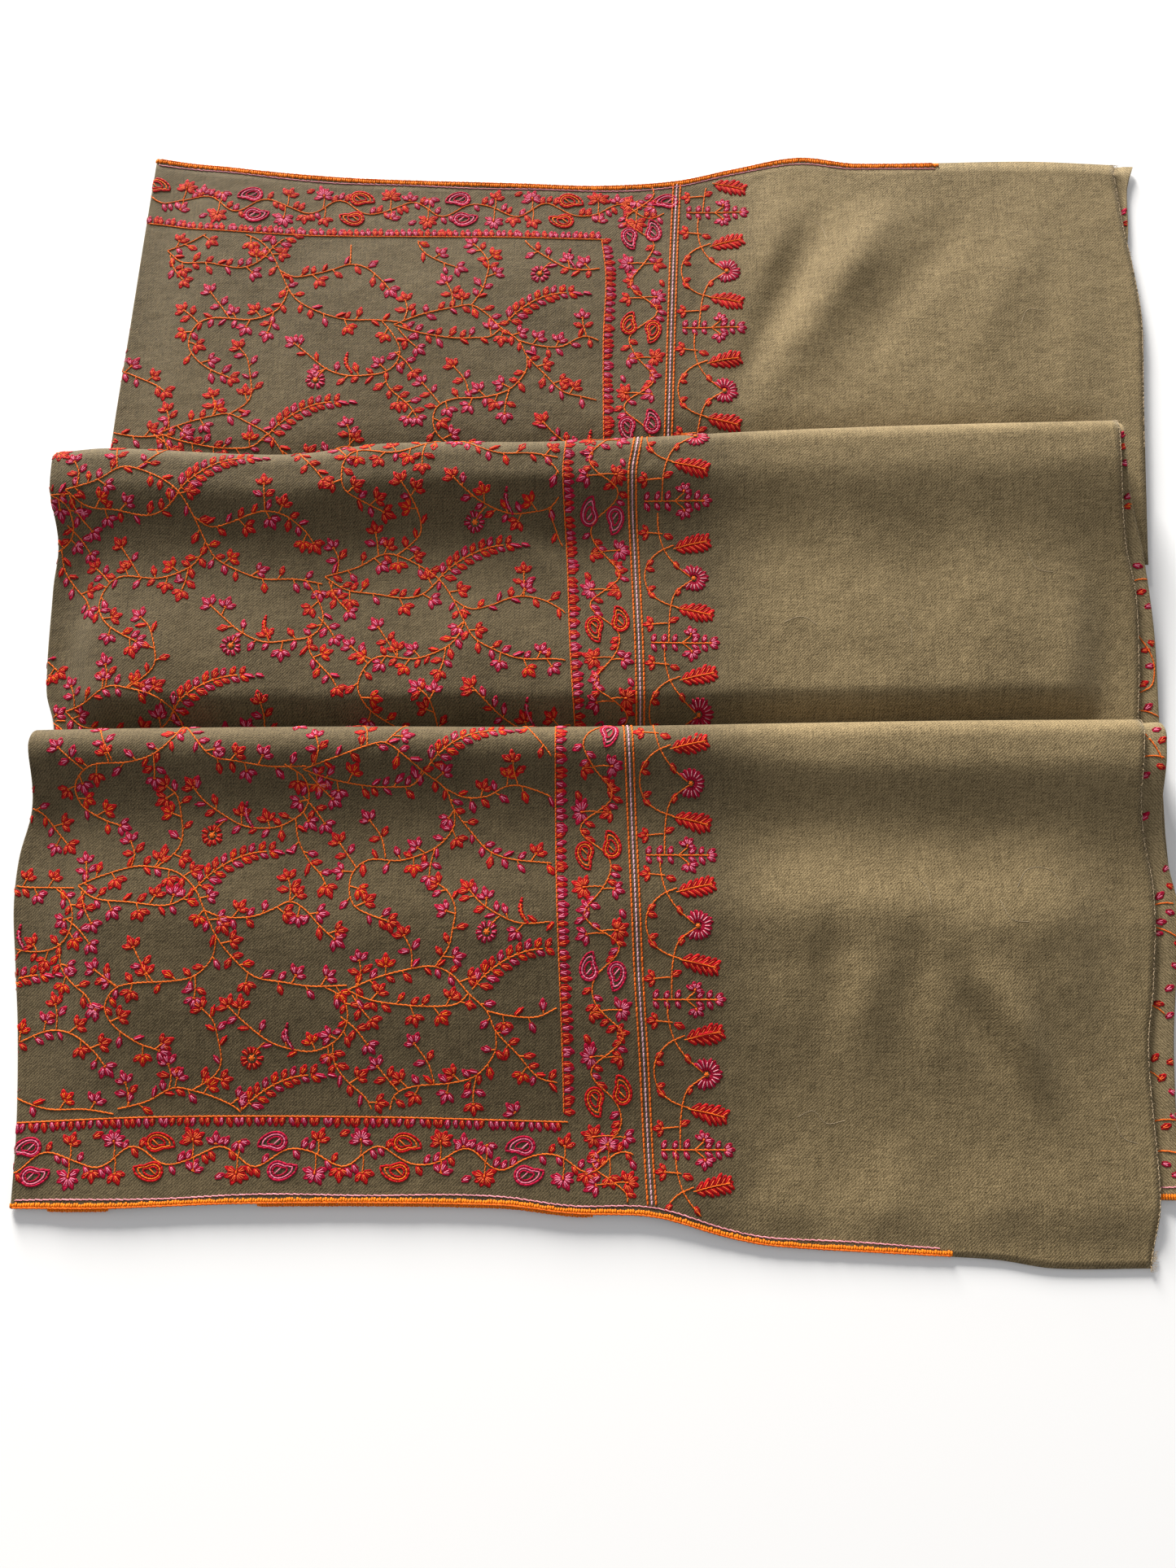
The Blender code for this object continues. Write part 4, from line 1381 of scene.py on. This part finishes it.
def border_vine(needle, centre_line, first_pair, swing, first_cool):
    """A swinging vine with pairs of paisleys, along a centre line whose first place is at distance 0."""
    step = np.linalg.norm(centre_line[1] - centre_line[0])
    total = (len(centre_line) - 2) * step

    def at(distance, aside):
        i = int(min(len(centre_line) - 2, max(0, distance / step)))
        ahead = centre_line[i + 1] - centre_line[i]
        angle = math.atan2(ahead[1], ahead[0])
        return turned(centre_line[i], angle, 0, aside), angle

    def aside_at(distance):
        phase = 2 * math.pi * (distance - first_pair) / WAVE
        return swing * (math.sin(phase) + 0.22 * math.sin(1.7 * phase + 1))

    marks = np.arange(1, total, 5.0)
    stem(needle, [at(mark, aside_at(mark))[0] for mark in marks])
    pair = first_pair - PAIR_PITCH * math.ceil(first_pair / PAIR_PITCH)
    order = int(round((pair - first_pair) / PAIR_PITCH))
    while pair < total + PAIR_PITCH:
        cool = (order + first_cool) % 2 == 0
        down = -1 if order % 2 else 1
        tones = (CRIMSON, ROSE) if cool else (RED, ORANGE)
        flower_tones = WARM if cool else COOL
        for side in (1, -1):
            spot, angle = at(pair - side * 3.5, 0)
            base = turned(spot, angle, -side * 6.0, side * down * 3.2)
            if 8 < pair - side * 9 < total - 4:
                turn = angle + (0 if side > 0 else math.pi) + down * 0.5
                paisley(needle, base, turn, down, 1.2, tones)
        for shift, aside, kind in BORDER_SPRIGS:
            spot, angle = at(pair + shift, aside * down)
            if not 6 < pair + shift < total - 6:
                continue
            start, _ = at(pair + shift, aside_at(pair + shift))
            outward = 1 if aside * down > 0 else -1
            if kind == "spray":
                spray(needle, spot, angle + outward * down * 1.2, flower_tones, 6.8)
            elif kind == "flower":
                clump(needle, spot, angle + outward * 1.57, COOL if cool else WARM)
            elif kind == "upright":
                spray(needle, spot, angle - down * math.pi / 2, flower_tones, 6.8)
            else:
                bud(needle, spot, angle + 0.4, 6.5, flower_tones)
            if 3 < np.linalg.norm(np.array(start) - spot) < 14:
                stem(needle, [start, (np.array(start) + spot) / 2 + 0.5, spot], width=0.85)
        for shift in BORDER_BUDS:
            base, angle = at(pair + shift, aside_at(pair + shift))
            if 4 < pair + shift < total - 4:
                angle += 1.1 if needle.random.random() < 0.5 else -1.1
                tones = needle.random.choice((WARM, COOL))
                bud(needle, turned(base, angle, 1.0, 0), angle, 6.6, tones)
        pair += PAIR_PITCH
        order += 1


print("paisley pairs every", PAIR_PITCH, "mm")

# %% [markdown]
# Now the borders are worked. Down the side each stretch has the guard line, the paisley band and a
# triple line of orange, mauve and orange. Along the two hems the band is narrower, and its vine starts
# at the left, where the fold cuts it off.

# %% Work the side borders and the hem borders
HEM_BAND = {"back": 24, "front": -24}
PAISLEYS = {"back": (325, 0), "middle": (173, 1), "front": (20, 1)}


def column_path(name, rows):
    """A path down a stretch, from as far back as is stitched to as near."""
    x = read_curve(rows, 0.0)
    ys = np.arange(top_y(name, x), bottom_y(name, x) + 1, -PATH_STEP)
    return np.stack([read_curve(rows, ys), ys], -1)


for name, needle in needles.items():
    inner_line = column_path(name, GUARD_X[name])
    guard = inner_line
    if name == "back":
        guard = guard[guard[:, 1] < read_curve(BACK_GUARD_Y, -1)]
    if name == "front":
        guard = guard[guard[:, 1] > read_curve(FRONT_GUARD_Y, -26) - 1]
    guard_line(needle, guard, 1)
    triple = column_path(name, TRIPLE_X[name])
    for shift, colour in ((-2.6, ORANGE), (0, MAUVE), (2.6, ORANGE)):
        stem(needle, triple[::10] + (shift, 0), colour, 1.4)
    middle_line = (inner_line + triple[: len(inner_line)]) / 2 + (2.5, 0)
    start, cool = PAISLEYS[name]
    border_vine(needle, middle_line, middle_line[0][1] - start, 9.5, cool)

for name, rows in (("back", BACK_GUARD_Y), ("front", FRONT_GUARD_Y)):
    needle = needles[name]
    left = -388 if name == "front" else -350
    xs = np.arange(left, read_curve(GUARD_X[name], rows[-1][1]) + 3, PATH_STEP)
    guard = np.stack([xs, read_curve(rows, xs)], -1)
    guard_line(needle, guard, 1 if name == "back" else -1, 6.4)
    right = read_curve(TRIPLE_X[name], 380 if name == "back" else -340) - 8
    reach = np.arange(left, right, PATH_STEP)
    centre = np.stack([reach, read_curve(rows, reach) + HEM_BAND[name]], -1)
    border_vine(needle, centre, 92 if name == "back" else 30, 5.5, 0)
print("front stitches so far:", sum(len(rows) for rows in needles["front"].rows.values()))

# %% [markdown]
# ## The finials
#
# Past the triple line stands a row of finials: a daisy on a forked stem between two red ferns, then a
# pink tree beside it, about every 92 mm. All parts are placed from the daisy, out from the triple line,
# and the same recipe with a sign of 1 or -1 gives the half before the daisy and the half behind it.

# %% Finials
HEM_ROOM = 7
DAISIES = {"back": (390, 294, 198), "middle": (151, 52, -41), "front": (1, -91, -182, -274, -366)}


def finial(needle, triple_x, y, keep):
    """One repeat: places are given out from the triple line and forward of the daisy."""
    tree = 46

    def spot(out, forward):
        return np.array([triple_x(y - forward) + out, y - forward])

    def line(*places, width=STEM_WIDTH):
        return stem(needle, [spot(*place) for place in places], keep=keep, width=width)

    line((17, -46), (17, -34), (20, -21), (27, -10), (37, -1))
    line((38, 1), (27, 9), (23, 18), (21, 30), (20, 46))
    line((27, -24), (16, -19), (8, -10), (6, 0), (9, 10), (17, 17), (28, 21))
    if keep(*spot(38, 0)) and keep(*spot(38, 8)):
        daisy(needle, spot(39, 0), 0.0)
    for sign in (-1, 1):
        if keep(*spot(30, sign * 24)) and keep(*spot(30, sign * 28)):
            fern(needle, spot(28, sign * 21.5), -sign * 0.22, 22, 13)
        for out, forward, turn in ((7.5, sign * 8, 0.4), (12, sign * 13.5, 2.4), (27, sign * 12, 1.2)):
            if keep(*spot(out, forward)):
                bud(needle, spot(out, forward), sign * turn, 6.2, WARM)
        if keep(*spot(12, sign * 32)):
            line((20, sign * 32), (14, sign * 32.5), (9, sign * 33), width=0.95)
            spray(needle, spot(10, sign * 33), math.pi, WARM, 5.6)
            bud(needle, spot(21, sign * 31), 0.4 * sign, 6.8, WARM)
    if keep(*spot(20, tree + 6)) and keep(*spot(20, tree - 6)):
        line((8, tree), (20, tree), (34, tree), (50, tree))
        for sign in (-1, 1):
            for out in (9, 16, 23, 43):
                bud(needle, spot(out, tree + sign * 1.0), -sign * 1.15, 5.6, COOL)
            line((29, tree), (32, tree + sign * 2.5), (35, tree + sign * 5), width=0.9)
            clump(needle, spot(35, tree + sign * 6), -sign * 1.3, COOL, 5.6, 4, 3.6)
            bud(needle, spot(36, tree + sign * 1.2), -sign * 0.7, 6.0, COOL)
        spray(needle, spot(47, tree), 0.0, COOL, 6.2, 0.7)


for name, needle in needles.items():
    def keep(x, y, name=name):
        low = bottom_y(name, x) + (HEM_ROOM if name == "front" else 0)
        return low < y < top_y(name, x) - (HEM_ROOM if name == "back" else 0)

    def triple_x(y, name=name):
        return float(read_curve(TRIPLE_X[name], y))

    for y in DAISIES[name]:
        finial(needle, triple_x, y, keep)
print("places for finials:", sum(len(rows) for rows in DAISIES.values()))

# %% [markdown]
# ## Edgings
#
# The hems are whipped in orange: short stitches side by side across the edge, 1.6 mm apart, with a line
# of stem stitch along them. A thin pink line runs just inside. The orange stops before the plain end,
# where the hem is left raw.

# %% Whipped hems
WHIP_PITCH, WHIP_LENGTH = 1.6, 3.3
EDGING_END = {"back": 262, "front": 213}


def whipped_edge(needle, hem, start, end, inward, lift=0.0):
    """Stitches across a hem between two values of x, with inward 1 towards +Y."""
    for x in np.arange(start, end, WHIP_PITCH):
        y = float(read_curve(hem, x)) + inward * 0.2
        reach = WHIP_LENGTH * needle.random.uniform(0.85, 1.15)
        lean = needle.random.uniform(-0.3, 0.3)
        needle.stitch((x, y), (x + lean, y + inward * reach), 1.9, BRIGHT_ORANGE, lift, 0.6)
    edge = [(x, float(read_curve(hem, x)) + inward * 0.5) for x in np.arange(start, end, 6.0)]
    stem(needle, edge, ORANGE, 1.4, lift=0.2)


def running_line(needle, hem, start, end, inward, inset):
    """The pink line inside the hem, with a slight sway."""
    xs = np.arange(start, end, 8.0)
    edge = [(x, float(read_curve(hem, x)) + inward * (inset + 0.5 * math.sin(x / 19))) for x in xs]
    stem(needle, edge, PALE_ROSE, 0.95, 4.2)


whipped_edge(needles["back"], BACK_HEM, -336, EDGING_END["back"] - 12, -1)
running_line(needles["back"], BACK_HEM, -336, EDGING_END["back"] - 12, -1, 4.6)
whipped_edge(needles["front"], FRONT_HEM, -370, EDGING_END["front"], 1)
running_line(needles["front"], FRONT_HEM, -370, EDGING_END["front"] - 4, 1, 5.2)
print("whipping stitches in 100 mm of hem:", round(100 / WHIP_PITCH))

# %% [markdown]
# The end of the shawl is left raw but for one pale overcast thread. Short loose fibres stand out from
# it, most of all at the corners, and they are what makes the edge look like wool.

# %% Raw ends and loose fibres
RAW_INSET = 0.5


def raw_end(needle, rows, low, high):
    """A pale thread zigzagging along the raw end."""
    ys = np.arange(low, high, 1.7)
    xs = read_curve(rows, ys) - RAW_INSET
    for i in range(len(ys) - 1):
        sway = (0.35 if i % 2 else -0.35) * needle.random.uniform(0.2, 1.6)
        if needle.random.random() < 0.85:
            start, end = (xs[i] + sway, ys[i] - 0.2), (xs[i + 1] - sway, ys[i + 1] + 0.2)
            needle.stitch(start, end, needle.random.uniform(0.4, 0.8), WOOL, 0.1)


def fibres(needle, rows, low, high, count, longest):
    """Loose hairs that stand out from the raw end, each bent once."""
    random = needle.random
    for _ in range(count):
        y = random.uniform(low, high)
        x = float(read_curve(rows, y)) - random.uniform(0.2, 1.0)
        angle = random.gauss(0, 0.7)
        knee = turned((x, y), angle, random.uniform(0.5, 0.5 * longest), 0)
        needle.stitch((x, y), knee, 0.22, WOOL)
        tip = turned(knee, angle + random.uniform(-0.9, 0.9), 0.45 * longest, 0)
        needle.stitch(knee, tip, 0.18, WOOL)


for name, rows in (("back", BACK_RAW), ("middle", MIDDLE_RAW), ("front", FRONT_RAW)):
    edge_x = float(rows[0][1])
    low = bottom_y(name, edge_x) - 3
    high = top_y(name, edge_x)
    raw_end(needles[name], rows, low, high)
    fibres(needles[name], rows, low, high, 60, 2.2)
fibres(needles["front"], FRONT_RAW, -391, -380, 40, 5.0)
fibres(needles["back"], BACK_RAW, 380, 392, 60, 6.0)

# Loose hairs that curl on the plain cloth: stretch, then x and y of the places that each runs through
HAIRS = (
    ("front", ((262, -158), (270, -146), (284, -146), (292, -156))),
    ("front", ((250, -166), (256, -178), (268, -180))),
    ("front", ((196, -150), (204, -158), (206, -170))),
    ("front", ((318, -300), (322, -312), (332, -316))),
    ("front", ((120, -300), (130, -296), (138, -304), (150, -302))),
    ("middle", ((196, 26), (204, 16), (204, 4))),
    ("middle", ((286, 70), (292, 58), (304, 56))),
    ("middle", ((120, 20), (132, 24), (142, 18))),
    ("back", ((150, 340), (160, 334), (164, 322))),
    ("back", ((300, 250), (306, 262), (318, 262))),
)
for name, places in HAIRS:
    stem(needles[name], places, HAIR, 0.22, 2.4, lift=0.1)
print("loose hairs on the plain cloth:", len(HAIRS))

# %% [markdown]
# On the strip past the raw end the same vines go on, cut off by the fold. Its few buds and strands are
# listed one by one: how far back each lies, and its share of the way from the raw end to the fold. When
# they are worked, every needle turns its rows of stitches into meshes.

# %% Needlework on the strips
STRIP_BUDS = {
    "middle": (
        (150, 0.3, COOL), (142, 0.6, WARM), (131, 0.5, COOL), (108, 0.7, COOL), (102, 0.6, BRIGHT),
        (64, 0.5, COOL), (45, 0.4, WARM), (35, 0.8, COOL), (11, 0.8, WARM), (5, 0.4, WARM),
        (-6, 0.6, COOL), (-19, 0.25, WARM), (-36, 0.5, COOL),
    ),
    "front": (
        (-56, 0.55, COOL), (-65, 0.8, WARM), (-80, 0.75, WARM), (-88, 0.2, COOL), (-114, 0.2, COOL),
        (-146, 0.85, COOL), (-155, 0.85, WARM), (-164, 0.3, COOL), (-172, 0.6, COOL), (-179, 0.2, COOL),
        (-186, 0.15, COOL), (-192, 0.9, WARM), (-206, 0.9, COOL), (-222, 0.7, COOL), (-230, 0.3, WARM),
        (-239, 0.8, COOL), (-266, 0.3, WARM), (-267, 0.85, WARM), (-278, 0.5, WARM), (-284, 0.9, COOL),
        (-299, 0.9, COOL), (-307, 0.5, WARM), (-328, 0.4, COOL), (-335, 0.8, COOL),
    ),
    "back": ((345, 0.5, COOL), (337, 0.6, WARM)),
}
STRIP_STRANDS = {
    "middle": (
        ((142, 0.1), (146, 0.7)), ((102, 0.2), (104, 1.0)), ((53, 0.0), (54, 1.0)),
        ((17, 0.0), (5, 0.6), (-6, 0.85), (-19, 0.7), (-24, 0.1)), ((-36, 0.1), (-41, 1.0)),
    ),
    "front": (
        ((-57, 0.0), (-65, 0.4), (-76, 0.8)), ((-74, 0.0), (-75, 0.9)), ((-168, 0.0), (-167, 0.8)),
        ((-182, 0.0), (-189, 0.9)), ((-231, 0.0), (-237, 0.6)), ((-272, 0.0), (-278, 0.5)),
        ((-303, 0.0), (-302, 1.0)), ((-321, 0.0), (-322, 1.0)),
    ),
    "back": (),
}


def strip_place(stretch, y, share):
    raw = float(read_curve(stretch.raw, y))
    fold = float(read_curve(stretch.turn, y))
    return blend(raw, fold - 0.4, share), y


strip_needles = {
    name: Needle(name + "_strip", stretch, 20 + seed, depth=UNDER)
    for seed, (name, stretch) in enumerate(STRETCHES.items())
}
for name, needle in strip_needles.items():
    stretch = STRETCHES[name]
    for strand in STRIP_STRANDS[name]:
        places = [strip_place(stretch, y, share) for y, share in strand]
        if len(places) == 2:
            places.insert(1, tuple((np.array(places[0]) + places[1]) / 2 + (0, 0.8)))
        stem(needle, places, length=2.2)
    for y, share, tones in STRIP_BUDS[name]:
        x, _ = strip_place(stretch, y, share)
        bud(needle, (x - 2.2, y), needle.random.uniform(-0.5, 0.9), 6.4, tones)
needle = strip_needles["front"]
for x in np.arange(338, 356, WHIP_PITCH):
    needle.stitch((x, -350), (x, -346), 1.7, BRIGHT_ORANGE, 0, 0.7)
stem(needle, [(338, -342), (346, -342.5), (356, -342)], PALE_ROSE, 0.95, 3.5)

# The whipping of the hem's under edge, where it shows from in front
lower_hem = [(x, y - 1.9) for x, y in FRONT_HEM]
for start, end in ((-345, -308), (-215, -8)):
    whipped_edge(needle, lower_hem, start, end, 1, 0.9)

top_stitches = {name: needle.make() for name, needle in needles.items()}
strip_stitches = {name: needle.make() for name, needle in strip_needles.items()}
for name, count in TRIANGLES.items():
    print(name, count, "triangles")
print("all stitches:", sum(TRIANGLES.values()), "triangles")

# %% [markdown]
# ## Riding and sheets
#
# The cloth of each stretch is one sheet, cut to what shows and what turns under, and its stitches go
# with it. The strips are sheets of their own, and the layers inside are a plain closed form.


def dress(piece, slot, *nodes):
    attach(piece, "root")
    if nodes:
        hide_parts(*nodes)


dress(inner_layers, "shawl_inner", "hidden_layers")
for name in STRETCHES:
    dress(top_layers[name], "shawl_face", name + "_stretch")
    dress(strips[name], "shawl_reverse", name + "_underlap")
    for piece in top_stitches[name]:
        dress(piece, SLOT[piece.name.split("_")[-2]])
    for piece in strip_stitches[name]:
        dress(piece, SLOT[piece.name.split("_")[-2]])
print("sheets:", len(top_layers) + len(strips))

# %% [markdown]
# ## Floor, light and camera
#
# The shawl lies on a plain pale floor, just under the hem stitches that press in below the cloth.

# %% Floor
FLOOR_DROP = 0.6 * MM
floor_mesh = bmesh.new()
bmesh.ops.create_grid(floor_mesh, x_segments=1, y_segments=1, size=6)
floor_data = bpy.data.meshes.new("floor")
floor_mesh.to_mesh(floor_data)
floor_mesh.free()
floor = bpy.data.objects.new("floor", floor_data)
bpy.context.scene.collection.objects.link(floor)
floor_paint, floor_nodes, _ = new_material("floor_paint")
floor_nodes["Principled BSDF"].inputs["Base Color"].default_value = (0.88, 0.88, 0.885, 1)
floor_nodes["Principled BSDF"].inputs["Roughness"].default_value = 0.9
floor_data.materials.append(floor_paint)
floor.location.z = -FLOOR_DROP
print("floor is", round(FLOOR_DROP / MM, 1), "mm below the table plane")

# %% [markdown]
# Needlework and twill are read by their small shadows. So the main light is a large soft panel at the
# back left, low enough to rake across the pleats, and the pale surroundings fill the shadows.

# %% Light
world = bpy.data.worlds.new("studio")
bpy.context.scene.world = world
world.use_nodes = True
world.node_tree.nodes["Background"].inputs["Color"].default_value = (0.97, 0.97, 0.98, 1)
world.node_tree.nodes["Background"].inputs["Strength"].default_value = 0.45


def soft_light(name, place, target, size, energy, colour):
    data = bpy.data.lights.new(name, "AREA")
    data.size, data.energy, data.color = size, energy, colour
    lamp = bpy.data.objects.new(name, data)
    bpy.context.scene.collection.objects.link(lamp)
    lamp.location = place
    lamp.rotation_euler = (Vector(target) - Vector(place)).to_track_quat("-Z", "Y").to_euler()


soft_light("window", (-2.00, 6.00, 1.75), (0, 0, 0), 2.2, 1400, (1.0, 0.975, 0.93))
print("lights: window and surroundings")

# %% [markdown]
# The camera looks down from a little in front of the middle, tilted by 12 degrees. Its height and lens
# were settled from the widths of the near and far hems, so the pleats seem as wide as they should.

# %% Camera
camera_data = bpy.data.cameras.new("camera")
camera_data.lens = 27.03
camera_data.sensor_width = 36
camera = bpy.data.objects.new("camera", camera_data)
bpy.context.scene.collection.objects.link(camera)
camera.location = (-0.0182, -0.2488, 0.770)
camera.rotation_euler = (math.radians(11.9), 0, 0)
bpy.context.scene.camera = camera
bpy.context.scene.view_settings.view_transform = "Standard"
print("camera height in mm:", round(camera.location.z / MM))
